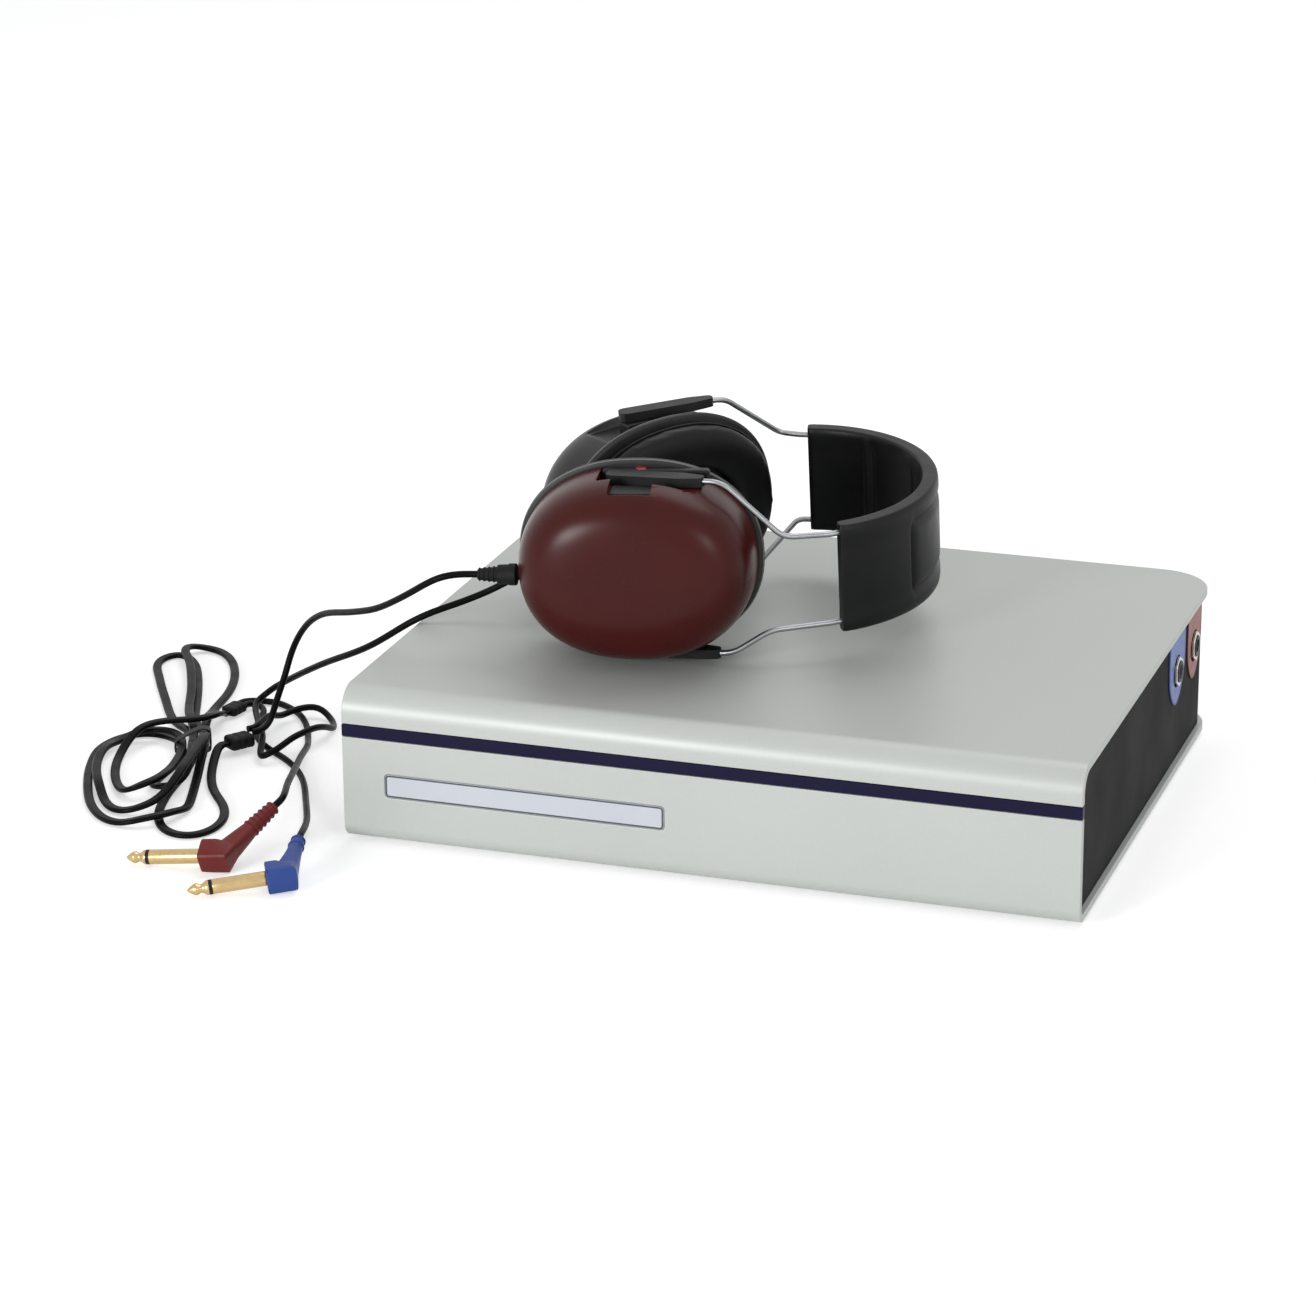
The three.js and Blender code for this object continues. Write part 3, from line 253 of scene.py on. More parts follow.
# Paint in the red mark of the right ear: a thick satin drop.
dot_paint = look("red_marking_paint", "8e2226", "a02a2d", 3, (0.4, 0.5), 0.5, 0.02)

# Screen-printed polyester on the name plate and the socket fields: fine ink grain, soft gloss.
plate_film = look("printed_polyester", "c8ccd6", "dadde3", 60, (0.34, 0.42), 0.6, 0.006)
outline_ink = look("dark_screen_ink", "41494f", "4b5359", 20, (0.4, 0.5), 0.6, 0.006)
blue_ink = look("blue_screen_ink", "5169ae", "6379bb", 4, (0.4, 0.5), 0.6, 0.01)
blue_line = look("dark_blue_screen_ink", "2f4795", "39509f", 8, (0.4, 0.5), 0.6, 0.01)
red_ink = look("red_screen_ink", "85403c", "94514b", 4, (0.4, 0.5), 0.6, 0.01)
red_line = look("dark_red_screen_ink", "6a2b29", "753330", 8, (0.4, 0.5), 0.6, 0.01)

# Glass-epoxy board under green solder mask: copper tracks show through as a paler relief.
board, tree, shader, place, bump, tone = surface(
    "glass_epoxy_board", "1f5535", "2a6a43", 25, (0.32, 0.42), 0.8, 0.01)
tracks = add(tree, "ShaderNodeTexBrick",
             {"Scale": 1 / (26 * MM), "Mortar Size": 0.03, "Color1": linear("25603c"),
              "Color2": linear("225838"), "Mortar": linear("4a8a5c")},
             {"Vector": place}, offset=0.37)
tree.links.new(tracks.outputs["Color"], shader.inputs["Base Color"])
relief(tree, shader, bump, tracks.outputs["Fac"], 0.035, 0.5)

# Varnished transformer iron: stacked sheets, drawn 1 mm thick, twice as coarse as in life.
iron, tree, shader, place, bump, tone = surface(
    "varnished_lamination_steel", "4d5052", "64676a", 8, (0.35, 0.5), 1.0, 0.02, {"Metallic": 0.8})
sheets = add(tree, "ShaderNodeTexWave", {"Scale": 1 / (3.2 * MM)}, {"Vector": place}, bands_direction="Y")
relief(tree, shader, bump, sheets.outputs["Fac"], 0.12, 0.6)

# Seamless studio floor: white paper, which the camera and gloss see as white, and which keeps the
# object's shadow.
floor_paper, tree, shader, place = start("white_paper_floor")
shader.inputs["Base Color"].default_value = (0.86, 0.86, 0.86, 1)
shader.inputs["Roughness"].default_value = 0.9
glow = add(tree, "ShaderNodeMath", {1: 0.5}, {0: white_rays(tree)}, operation="MULTIPLY")
shader.inputs["Emission Color"].default_value = (1, 1, 1, 1)
tree.links.new(glow.outputs[0], shader.inputs["Emission Strength"])
FLOOR_HALF = 30
sheet = bpy.data.meshes.new("floor")
corners = [(x * FLOOR_HALF, y * FLOOR_HALF, 0) for x, y in ((-1, -1), (1, -1), (1, 1), (-1, 1))]
sheet.from_pydata(corners, [], [(0, 1, 2, 3)])
sheet.materials.append(floor_paper)
floor = bpy.data.objects.new("floor", sheet)
scene.collection.objects.link(floor)

# ---------------------------------------------------------------- making pieces


def piece(name, points, faces, material, matrix=None):
    """A mesh from points in mm, with its doubles merged and its faces turned outwards."""
    mesh = bpy.data.meshes.new(name)
    moved = [matrix @ Vector(p) for p in points] if matrix else [Vector(p) for p in points]
    mesh.from_pydata([p * MM for p in moved], [], faces)
    mesh.materials.append(material)
    made = bpy.data.objects.new(name, mesh)
    scene.collection.objects.link(made)
    b = bmesh.new()
    b.from_mesh(mesh)
    bmesh.ops.remove_doubles(b, verts=b.verts, dist=1e-6)
    bmesh.ops.recalc_face_normals(b, faces=b.faces)
    b.to_mesh(mesh)
    b.free()
    return made


def baked(made):
    """Turns the piece with its modifiers into a plain mesh."""
    graph = bpy.context.evaluated_depsgraph_get()
    mesh = bpy.data.meshes.new_from_object(made.evaluated_get(graph))
    old = made.data
    made.modifiers.clear()
    made.data = mesh
    mesh.name = made.name
    if old.users == 0:
        bpy.data.meshes.remove(old)
    return made


def eased(made, width, angle=35, segments=2):
    """Rounds the edges over a width in mm and shades the rest smooth."""
    bevel = made.modifiers.new("edges", "BEVEL")
    bevel.width = width * MM
    bevel.segments = segments
    bevel.limit_method = "ANGLE"
    bevel.angle_limit = math.radians(angle)
    bevel.use_clamp_overlap = True
    made.data.shade_smooth()
    weight = made.modifiers.new("shading", "WEIGHTED_NORMAL")
    weight.keep_sharp = True
    return baked(made)


def smooth(made, angle=35):
    """Shades the piece smooth, apart from edges over the angle."""
    made.data.shade_smooth()
    made.data.set_sharp_from_angle(angle=math.radians(angle))
    return made


def settle(made, body, slot, *nodes):
    """Ties a finished piece to its CAD body and hides the nodes that it stands for; the slot, its finish, is
    not used.
    """
    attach(made, body)
    if nodes:
        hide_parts(*nodes)
    return made


def cut(made, tool):
    """Takes the tool's shape out of the piece."""
    way = made.modifiers.new("cut", "BOOLEAN")
    way.operation = "DIFFERENCE"
    way.solver = "EXACT"
    way.object = tool
    baked(made)
    bpy.data.objects.remove(tool)
    return made


def dressed(node, name, material, body, slot, width, angle=40, segments=2, flat=1.0):
    """A copy of a CAD node with merged corners, eased edges and its own finish, which stands for it."""
    made = bpy.data.objects.new(name, frame["nodes"][node].data.copy())
    scene.collection.objects.link(made)
    made.data.materials.clear()
    made.data.materials.append(material)
    b = bmesh.new()
    b.from_mesh(made.data)
    bmesh.ops.remove_doubles(b, verts=b.verts, dist=2e-6)
    bmesh.ops.dissolve_limit(b, angle_limit=math.radians(flat), verts=b.verts, edges=b.edges)
    b.to_mesh(made.data)
    b.free()
    for layer in list(made.data.uv_layers):
        made.data.uv_layers.remove(layer)
    made.data.set_sharp_from_angle(angle=math.radians(180))
    return settle(eased(made, width, angle, segments), body, slot, node)


def rings_mesh(name, rings, material, matrix=None, loop=False):
    """Rings of equally many points, joined one after another, and closed at the ends or, as a
    loop, by joining the last ring to the first."""
    n = len(rings[0])
    points = [p for r in rings for p in r]
    faces = []
    for i in range(len(rings) if loop else len(rings) - 1):
        for j in range(n):
            k = (i + 1) % len(rings)
            faces.append((i * n + j, i * n + (j + 1) % n, k * n + (j + 1) % n, k * n + j))
    if not loop:
        faces.append(tuple(range(n)))
        faces.append(tuple((len(rings) - 1) * n + j for j in range(n)))
    return piece(name, points, faces, material, matrix)


def circle(r, sides):
    """A round outline of radius r."""
    turns = [2 * math.pi * j / sides for j in range(sides)]
    return [(r * math.cos(w), r * math.sin(w)) for w in turns]


def squircle(sides, power):
    """An outline between a square and a circle, one across: power 2 is round."""
    points = []
    for j in range(sides):
        w = 2 * math.pi * (j + 0.5) / sides
        c, s = math.cos(w), math.sin(w)
        r = 1 / (abs(c) ** power + abs(s) ** power) ** (1 / power)
        points.append((r * c, r * s))
    return points


def turned(name, profile, a, b, material, angle, sides=40):
    """A turned shape: pairs of distance and radius along the line from a to b."""
    a, b = Vector(a), Vector(b)
    t = (b - a).normalized()
    side = t.cross(Vector((0, 0, 1)))
    side = side.normalized() if side.length > 0.05 else Vector((1, 0, 0))
    up = side.cross(t)
    rings = [[a + t * d + side * x + up * y for x, y in circle(r, sides)] for d, r in profile]
    return smooth(rings_mesh(name, rings, material), angle)


BOX_FACES = [(0, 1, 3, 2), (4, 6, 7, 5), (0, 4, 5, 1), (2, 3, 7, 6), (0, 2, 6, 4), (1, 5, 7, 3)]


def block(name, x, y, z, material, matrix, width, segments=4):
    """A block between pairs of X, Y and Z, with its edges eased over a width."""
    corners = [(i, j, k) for i in x for j in y for k in z]
    return eased(piece(name, corners, BOX_FACES, material, matrix), width, 40, segments)


# ---------------------------------------------------------------- cords, on the CAD's own points

FOOT_H = 2  # the case's feet, below the zero that its heights are counted from
FIT = 0.3  # gap between pieces that move past each other
CORD_R, TWIN_W, TWIN_T = 1.5, 4.2, 2.5  # a round cord's radius, the twin cord's width and thickness
STRAND_GAP = 0.55  # air between a strand and the one that it crosses
PIN_B, GLAND_L = 2, 17.3  # the pins' place along a cup, the length of a strain relief
# Each cup: the middle between its pins, the sliders' yaw and lean and the cup's own turn in
# degrees, the side that its shell faces, how far the sliders stand off above and below, and the
# foot of its strain relief.
RIGHT = dict(pin=(-51.5, -53.4, 110.2), yaw=1.5, turn=9.2, lean=1.9, out=-1, rise=0, sag=2,
             gland=(-51.2, -4.2))
LEFT = dict(pin=(-70.2, 25, 111.1), yaw=34, turn=16.5, lean=5, out=1, rise=5.6, sag=0,
            gland=(-49.4, -17.5))


def turn_about(axis, degrees):
    """A turn about an axis through the middle."""
    return Matrix.Rotation(math.radians(degrees), 4, axis)


def slider_matrix(side):
    """Where a cup's sliders are: along them, outwards and up."""
    place = Matrix.Translation(Vector(side["pin"]) + Vector((0, 0, FOOT_H)))
    return place @ (turn_about("Z", side["yaw"]) @ turn_about("Y", -side["lean"]))


def cup_matrix(side):
    """Where a cup is, turned on its pins."""
    return slider_matrix(side) @ turn_about("Z", side["turn"]) @ Matrix.Translation((-PIN_B, 0, 0))


def on_curve(points, t):
    """A point of the centripetal curve through all points, t from 0 to 1."""
    at = (len(points) - 1) * t
    i = min(int(at), len(points) - 2)
    w = at - i
    p1, p2 = points[i], points[i + 1]
    p0 = points[i - 1] if i > 0 else p1 * 2 - p2
    p3 = points[i + 2] if i + 2 < len(points) else p2 * 2 - p1
    d0, d1, d2 = [max((b - a).length_squared, 1e-12) ** 0.25 for a, b in ((p0, p1), (p1, p2), (p2, p3))]
    d0 = d1 if d0 < 1e-4 else d0
    d2 = d1 if d2 < 1e-4 else d2
    t1 = ((p1 - p0) / d0 - (p2 - p0) / (d0 + d1) + (p2 - p1) / d1) * d1
    t2 = ((p2 - p1) / d1 - (p3 - p1) / (d1 + d2) + (p3 - p2) / d2) * d1
    return p1 + t1 * w + (p1 * -3 + p2 * 3 - t1 * 2 - t2) * w ** 2 + (p1 * 2 - p2 * 2 + t1 + t2) * w ** 3


def spaced(given, step):
    """Points about step mm apart on the curve, and the second point at each end."""
    points = [Vector(p) for p in given]
    fine = [on_curve(points, i / 200) for i in range(201)]
    run = [0]
    for a, b in zip(fine, fine[1:]):
        run.append(run[-1] + (b - a).length)
    count = max(4, round(run[-1] / step))
    out, k = [], 0
    for i in range(count + 1):
        want = run[-1] * i / count
        while k < 199 and run[k + 1] < want:
            k += 1
        share = (want - run[k]) / max(run[k + 1] - run[k], 1e-9)
        out.append(on_curve(points, min(1, (k + share) / 200)))
    out.insert(len(out) - 1, points[-2].copy())
    out.insert(1, points[1].copy())
    return out


laid = []


def apart(a, b, c, d):
    """Plan distance between two straight pieces."""
    def side(p, q, r):
        return (q.x - p.x) * (r.y - p.y) - (q.y - p.y) * (r.x - p.x)

    def reach(p, q, r):
        run = (r.x - q.x) ** 2 + (r.y - q.y) ** 2
        t = min(1, max(0, ((p.x - q.x) * (r.x - q.x) + (p.y - q.y) * (r.y - q.y)) / max(run, 1e-12)))
        return math.hypot(p.x - q.x - t * (r.x - q.x), p.y - q.y - t * (r.y - q.y))

    if side(a, b, c) * side(a, b, d) < 0 and side(c, d, a) * side(c, d, b) < 0:
        return 0
    return min(reach(a, c, d), reach(b, c, d), reach(c, a, b), reach(d, a, b))


FAR_APART = 6  # strands further apart than this along X can't touch
OWN_BEND = 16  # a strand isn't laid over its own last mm
SLOPE = 0.42  # the steepest rise of a strand that is lifted


def lay(points, width, thick, step):
    """Lifts each strand over those that already lie where it crosses them."""
    begin = [p.z for p in points]
    lift = [0.0] * len(points)
    skip = math.ceil(OWN_BEND / step)
    others = [(c, d, s[1], s[2]) for s in laid for c, d in zip(s[0], s[0][1:])]
    for _ in range(7):
        for i in range(len(points) - 1):
            a, b = points[i], points[i + 1]
            need = 0
            own = [(points[j], points[j + 1], width, thick) for j in range(i - skip)]
            for c, d, w, t in others + own:
                if min(c.z, d.z) - (thick + t) / 2 - STRAND_GAP > max(a.z, b.z):
                    continue
                if max(min(a.x, b.x) - max(c.x, d.x), min(c.x, d.x) - max(a.x, b.x)) > FAR_APART:
                    continue
                if apart(a, b, c, d) < (width + w) / 2 + STRAND_GAP:
                    need = max(need, max(c.z, d.z) + (thick + t) / 2 + STRAND_GAP)
            lift[i] = max(lift[i], need - begin[i])
            lift[i + 1] = max(lift[i + 1], need - begin[i + 1])
            a.z, b.z = begin[i] + lift[i], begin[i + 1] + lift[i + 1]
        for i in range(1, len(points)):
            lift[i] = max(lift[i], lift[i - 1] - SLOPE * step)
        for i in range(len(points) - 2, -1, -1):
            lift[i] = max(lift[i], lift[i + 1] - SLOPE * step)
        for i, p in enumerate(points):
            p.z = begin[i] + lift[i]
    laid.append((points, width, thick))
    return points


MARK = (-1.8, 5.3)  # the place on the floor that the loose cords' points are counted from
TWIN_Z, CORD_Z, TIE_Z = TWIN_T / 2 + 0.25, CORD_R + 0.15, 2.9
# The two blocks on the cords: from a to b at height z, with half their width and height.
SPLIT = dict(a=(-241.6, -44.8), b=(-248.1, -54.1), z=5.2, half=4.8, high=3)
DIVIDE = dict(a=(-267.2, -11.5), b=(-265.2, -2), z=3.2, half=4, high=2.2)


def on_floor(given, z):
    """Points counted from MARK, at height z where they give none."""
    return [(p[0] + MARK[0], p[1] + MARK[1], p[2] if len(p) > 2 else z) for p in given]


def end_at(a, b, side, by, z):
    """A point by mm in front of end a of a block that runs to b, side mm off its middle."""
    t = (Vector(b) - Vector(a)).normalized()
    return (a[0] - t.y * side - t.x * by, a[1] + t.x * side - t.y * by, z)


HANK = on_floor([
    (-248.3, -54.35, SPLIT["z"]), (-250.7, -57.8, SPLIT["z"]), (-249.5, -65, 4), (-243, -85), (-234, -102),
    (-222, -118), (-216, -134), (-218, -149), (-226, -154.5), (-237, -149),
    (-246, -134), (-252, -112), (-255, -90), (-258, -71, TIE_Z), (-264, -57, TIE_Z), (-270, -43, TIE_Z),
    (-287, -27), (-304, 0), (-319, 26), (-329, 47), (-324, 60), (-312, 50),
    (-300, 28), (-288, 0), (-278, -24), (-265.4, -41, TIE_Z), (-259.4, -55, TIE_Z), (-253.4, -69, TIE_Z),
    (-247, -92), (-240, -113), (-236, -130), (-241, -142), (-251, -149), (-263, -148),
    (-277, -135), (-291, -110), (-300, -88), (-305, -66), (-299, -48), (-289, -43),
    (-280, -46), (-273, -52, TIE_Z), (-267.4, -61.8, TIE_Z), (-262.6, -73, TIE_Z),
    (-264, -92), (-262, -106), (-254, -112), (-248, -102), (-252, -86), (-258, -71), (-264, -57),
    (-270, -43), (-282, -22), (-296, 12), (-312, 45), (-322, 62), (-313, 71), (-300, 63), (-286, 39),
    (-279, 15), (-276, -10), (-270, -28), (-265.4, -41), (-259.4, -55), (-253.4, -69),
    (-249, -92), (-246, -114), (-252, -133), (-265, -136), (-281, -118),
    (-295, -92), (-300, -68), (-294, -50), (-283, -48), (-273, -52), (-267.4, -61.8), (-262.6, -73),
    (-259, -92), (-257, -108), (-264, -120), (-276, -110), (-288, -88),
    (-293, -68), (-288, -50), (-279, -43), (-270, -39.5), (-264.6, -33), (-264.4, -25, 3.4),
    (-268.1, -15.9, DIVIDE["z"]), (-267.3, -11.85, DIVIDE["z"]),
], TWIN_Z)
# Each plug: its tip, its elbow and the end of its boot.
PLUGS = {name: [Vector(p) for p in on_floor(points, 0)] for name, points in (
    ("red", [(-234.6, -186.8, 3.3), (-194.4, -181.3, 6.9), (-182.6, -153.8, 20)]),
    ("blue", [(-195.4, -212, 3.3), (-160.8, -193.1, 6.9), (-167.9, -162.8, 9.9)]))}


def gland_point(side, by):
    """A point on the line through a cup's strain relief, by mm from its foot."""
    foot, level = side["gland"]
    return cup_matrix(side) @ Vector((foot + by, side["out"] * 6, level))


def gland_out(side, by):
    """A point in front of a cup's strain relief."""
    return tuple(gland_point(side, -GLAND_L - FIT - by))


def boot_out(name, by):
    """A point behind a plug's boot."""
    tip, elbow, boot = PLUGS[name]
    return tuple(boot + (boot - elbow).normalized() * by)


SPLIT_IN = [end_at(SPLIT["a"], SPLIT["b"], s, by, SPLIT["z"]) for s in (-2.3, 2.3) for by in (4, 0.3)]
TAIL_OUT = [end_at(DIVIDE["b"], DIVIDE["a"], s, by, DIVIDE["z"]) for s in (1.9, -1.9) for by in (0.3, 4)]
ROUTES = {
    "blue_tail_cord": [
        *on_floor(TAIL_OUT[:2], 0),
        *on_floor([
            (-259.4, 4.6, 2.4), (-254.4, 1), (-252, -8), (-249.4, -20), (-245.4, -30.5), (-239.8, -38.5),
            (-232.4, -46), (-221, -55), (-211, -65), (-202, -78), (-190, -103, 2.5), (-178.5, -129, 5.5),
            (-173, -144, 8.3)], CORD_Z),
        boot_out("blue", 5), boot_out("blue", 0.3)],
    "red_tail_cord": [
        *on_floor(TAIL_OUT[2:], 0),
        *on_floor([
            (-265, 6, 2.8), (-260, 10.6), (-252.5, 10.8), (-244.7, 6.4), (-236, -1), (-226.9, -14.5),
            (-218.5, -33, 2.5), (-211.6, -50, 6.5), (-203.5, -76, 12), (-194.5, -104, 17),
            (-187.3, -128, 20.5)], CORD_Z),
        boot_out("red", 5), boot_out("red", 0.3)],
    "left_cup_cord": [
        gland_out(LEFT, 0), gland_out(LEFT, 4),
        (-130, -28, 83.5), (-141, -32, 78.6), (-158.8, -40.5, 72), (-183, -40, 56), (-214, -22, 38),
        (-242, 1, 19),
        *on_floor([
            (-254, 2, 9), (-257, -3, 4), (-252, -14), (-245, -27), (-238, -39), (-234, -49), (-231, -59),
            (-227, -63), (-221, -54), (-215, -37), (-213, -19), (-218, -5), (-228, 3), (-236, -3),
            (-241, -20), (-241.5, -32, 5.2), *SPLIT_IN[:2]], CORD_Z)],
    "right_cup_cord": [
        gland_out(RIGHT, 0), gland_out(RIGHT, 4),
        (-132, -77.5, 105.6), (-139.5, -78, 102), (-153, -73, 92.8), (-170.3, -63, 82), (-187, -50, 74.4),
        (-213.1, -26, 62.4), (-227, -14, 50.1), (-234.2, -11, 37.7), (-236.5, -14, 27), (-238, -21, 17.5),
        *on_floor([(-236.5, -34.5, 9), *SPLIT_IN[2:]], CORD_Z)],
}


def finer(points, times, rounds=5):
    """More points on a smooth curve through the given ones, with small kinks evened out."""
    count = (len(points) - 1) * times
    line = [on_curve(points, i / count) for i in range(count + 1)]
    for _ in range(rounds):
        middle = [(a + b * 2 + c) / 4 for a, b, c in zip(line[2:-4], line[3:-3], line[4:-2])]
        line = line[:3] + middle + line[-3:]
    return line


def swept(name, path, section, material, flat=False):
    """A section, drawn across and up, carried along a path in mm without twist."""
    rings, side = [], None
    for i, p in enumerate(path):
        t = (path[min(i + 1, len(path) - 1)] - path[max(i - 1, 0)]).normalized()
        if flat:
            side = Vector((t.y, -t.x, 0)).normalized()
        elif side is None:
            side = Vector((1, 0, 0)) if abs(t.z) > 0.9 else Vector((0, 0, 1))
        side = (side - t * side.dot(t)).normalized()
        up = side.cross(t)
        rings.append([p + side * a + up * b for a, b in section])
    return rings_mesh(name, rings, material)


# The twin cord's section: two round cores side by side in one skin.
twin = []
for c, s in circle(1, 20):
    lobe = math.copysign((TWIN_W - TWIN_T) / 2, c) if abs(c) > 0.01 else 0
    waist = 0.72 if lobe == 0 else 1 - 0.12 * max(0, 0.5 - abs(c)) * 2
    twin.append((lobe + TWIN_T / 2 * c, TWIN_T / 2 * s * waist))
HANK_STEP, ROUND_STEP = 6.5, 7.5
hank_line = finer(lay(spaced(HANK, HANK_STEP), TWIN_W, TWIN_T, HANK_STEP), 3, 12)
hank = smooth(swept("twin_cord", hank_line, twin, cord_pvc, flat=True), 80)
settle(hank, "case", "cord_rubber", "twin_cord_hank")
lines = {}
for name, route in ROUTES.items():
    lines[name] = finer(lay(spaced(route, ROUND_STEP), 2 * CORD_R, 2 * CORD_R, ROUND_STEP), 3)
    if "tail" in name:
        # The cord runs on inside the boot as far as the elbow.
        elbow, boot = PLUGS[name.split("_")[0]][1:]
        lines[name] += [boot.lerp(elbow, s) for s in (0.1, 0.3, 0.5, 0.7, 0.9)]

# ---------------------------------------------------------------- what grows by node trees


def new_tree(name, inputs):
    """A Geometry Nodes tree with named inputs, and the node that gives them."""
    tree = bpy.data.node_groups.new(name, "GeometryNodeTree")
    tree.is_modifier = True
    for label, kind in inputs:
        tree.interface.new_socket(name=label, in_out="INPUT", socket_type="NodeSocket" + kind)
    tree.interface.new_socket(name="Geometry", in_out="OUTPUT", socket_type="NodeSocketGeometry")
    return tree, add(tree, "NodeGroupInput").outputs


def rib_tree(material):
    """Geometry Nodes: rings along a straight line, from one radius to another."""
    tree, given = new_tree("ribs_along_a_line", (
        ("Start", "Vector"), ("End", "Vector"), ("Count", "Int"),
        ("First Radius", "Float"), ("Last Radius", "Float"), ("Rib Radius", "Float")))
    line = add(tree, "GeometryNodeCurvePrimitiveLine", links={"Start": given["Start"], "End": given["End"]})
    dots = add(tree, "GeometryNodeCurveToPoints",
               links={"Curve": line.outputs["Curve"], "Count": given["Count"]}, mode="COUNT")
    where = add(tree, "GeometryNodeInputIndex")
    less = add(tree, "ShaderNodeMath", {1: 1.0}, {0: given["Count"]}, operation="SUBTRACT")
    share = add(tree, "ShaderNodeMath", links={0: where.outputs[0], 1: less.outputs[0]},
                operation="DIVIDE")
    size = add(tree, "ShaderNodeMapRange", links={
        "Value": share.outputs[0], "To Min": given["First Radius"], "To Max": given["Last Radius"]})
    ring = add(tree, "GeometryNodeCurvePrimitiveCircle", {"Resolution": 32, "Radius": 1.0})
    placed = add(tree, "GeometryNodeInstanceOnPoints", links={
        "Points": dots.outputs["Points"], "Instance": ring.outputs["Curve"],
        "Rotation": dots.outputs["Rotation"], "Scale": size.outputs[0]})
    real = add(tree, "GeometryNodeRealizeInstances", links={"Geometry": placed.outputs[0]})
    thin = add(tree, "GeometryNodeCurvePrimitiveCircle", {"Resolution": 8}, {"Radius": given["Rib Radius"]})
    tube = add(tree, "GeometryNodeCurveToMesh",
               links={"Curve": real.outputs[0], "Profile Curve": thin.outputs["Curve"]})
    soft = add(tree, "GeometryNodeSetShadeSmooth", links={"Geometry": tube.outputs["Mesh"]})
    last = add(tree, "GeometryNodeSetMaterial", {"Material": material}, {"Geometry": soft.outputs[0]})
    add(tree, "NodeGroupOutput", links={"Geometry": last.outputs[0]})
    return tree


def post_tree(material):
    """Geometry Nodes: a round stand-off on each given point."""
    tree, given = new_tree("stand_offs_on_points", (
        ("Points", "Geometry"), ("Radius", "Float"), ("Height", "Float")))
    post = add(tree, "GeometryNodeMeshCylinder", {"Vertices": 24},
               {"Radius": given["Radius"], "Depth": given["Height"]})
    placed = add(tree, "GeometryNodeInstanceOnPoints",
                 links={"Points": given["Points"], "Instance": post.outputs["Mesh"]})
    real = add(tree, "GeometryNodeRealizeInstances", links={"Geometry": placed.outputs[0]})
    last = add(tree, "GeometryNodeSetMaterial", {"Material": material}, {"Geometry": real.outputs[0]})
    add(tree, "NodeGroupOutput", links={"Geometry": last.outputs[0]})
    return tree


def grown(name, tree, inputs, dots=()):
    """Runs a node tree, on points where it has them, and keeps its result as a plain mesh."""
    made = bpy.data.objects.new(name, bpy.data.meshes.new(name))
    made.data.from_pydata(list(dots), [], [])
    scene.collection.objects.link(made)
    way = made.modifiers.new("grow", "NODES")
    way.node_group = tree
    for item in tree.interface.items_tree:
        if item.item_type == "SOCKET" and item.in_out == "INPUT" and item.name in inputs:
            way[item.identifier] = inputs[item.name]
    return baked(made)


RIB_TREES = {m.name: rib_tree(m) for m in (red_pvc, blue_pvc, rubber)}
RIB_R = 0.42  # half a rib's thickness


def ribs_on(name, material, start, end, first, last, count):
    """Ribs round a moulding from start to end, with the radius at the first and the last."""
    return grown(name, RIB_TREES[material.name], {
        "Start": start * MM, "End": end * MM, "Count": count, "First Radius": first * MM,
        "Last Radius": last * MM, "Rib Radius": RIB_R * MM})


# ---------------------------------------------------------------- plugs

# The contact as pairs of distance and radius from its tip: the pointed end, the ring and the sleeve.
TIP_LINE = [
    (-1.5, 0.2), (-1.3, 0.55), (-0.6, 1.1), (0.6, 1.9), (1.5, 2.4), (2.2, 2.6), (2.7, 2.55),
    (3.6, 2.1), (4.3, 1.85), (5.0, 2.0), (5.8, 2.6), (6.3, 3.0), (7.2, 3.12), (7.4, 3.12)]
RING_LINE = [(7.3, 2.9), (7.4, 3.15), (8.9, 3.15), (9.0, 2.9)]
SLEEVE_LINE = [(8.9, 2.8), (8.95, 3.08), (9.1, 3.15), (30.6, 3.15), (30.8, 3.14), (31.38, 3.0)]
PLUG_HALF, SQUARE = 5.75, 6  # half the block's thickness, and how square its section is
BOOT_WIDE, BOOT_NARROWS, BOOT_SQUARE = 4.75, 2.1, 2.4
PLUG_LOW = 0.2  # the moulding is flat where it lies on the floor


def squared(at, across, rise, half, power):
    """A ring of a plug's moulding, between a square and a circle."""
    return [at + across * (half * x) + rise * (half * y) for x, y in squircle(40, power)]


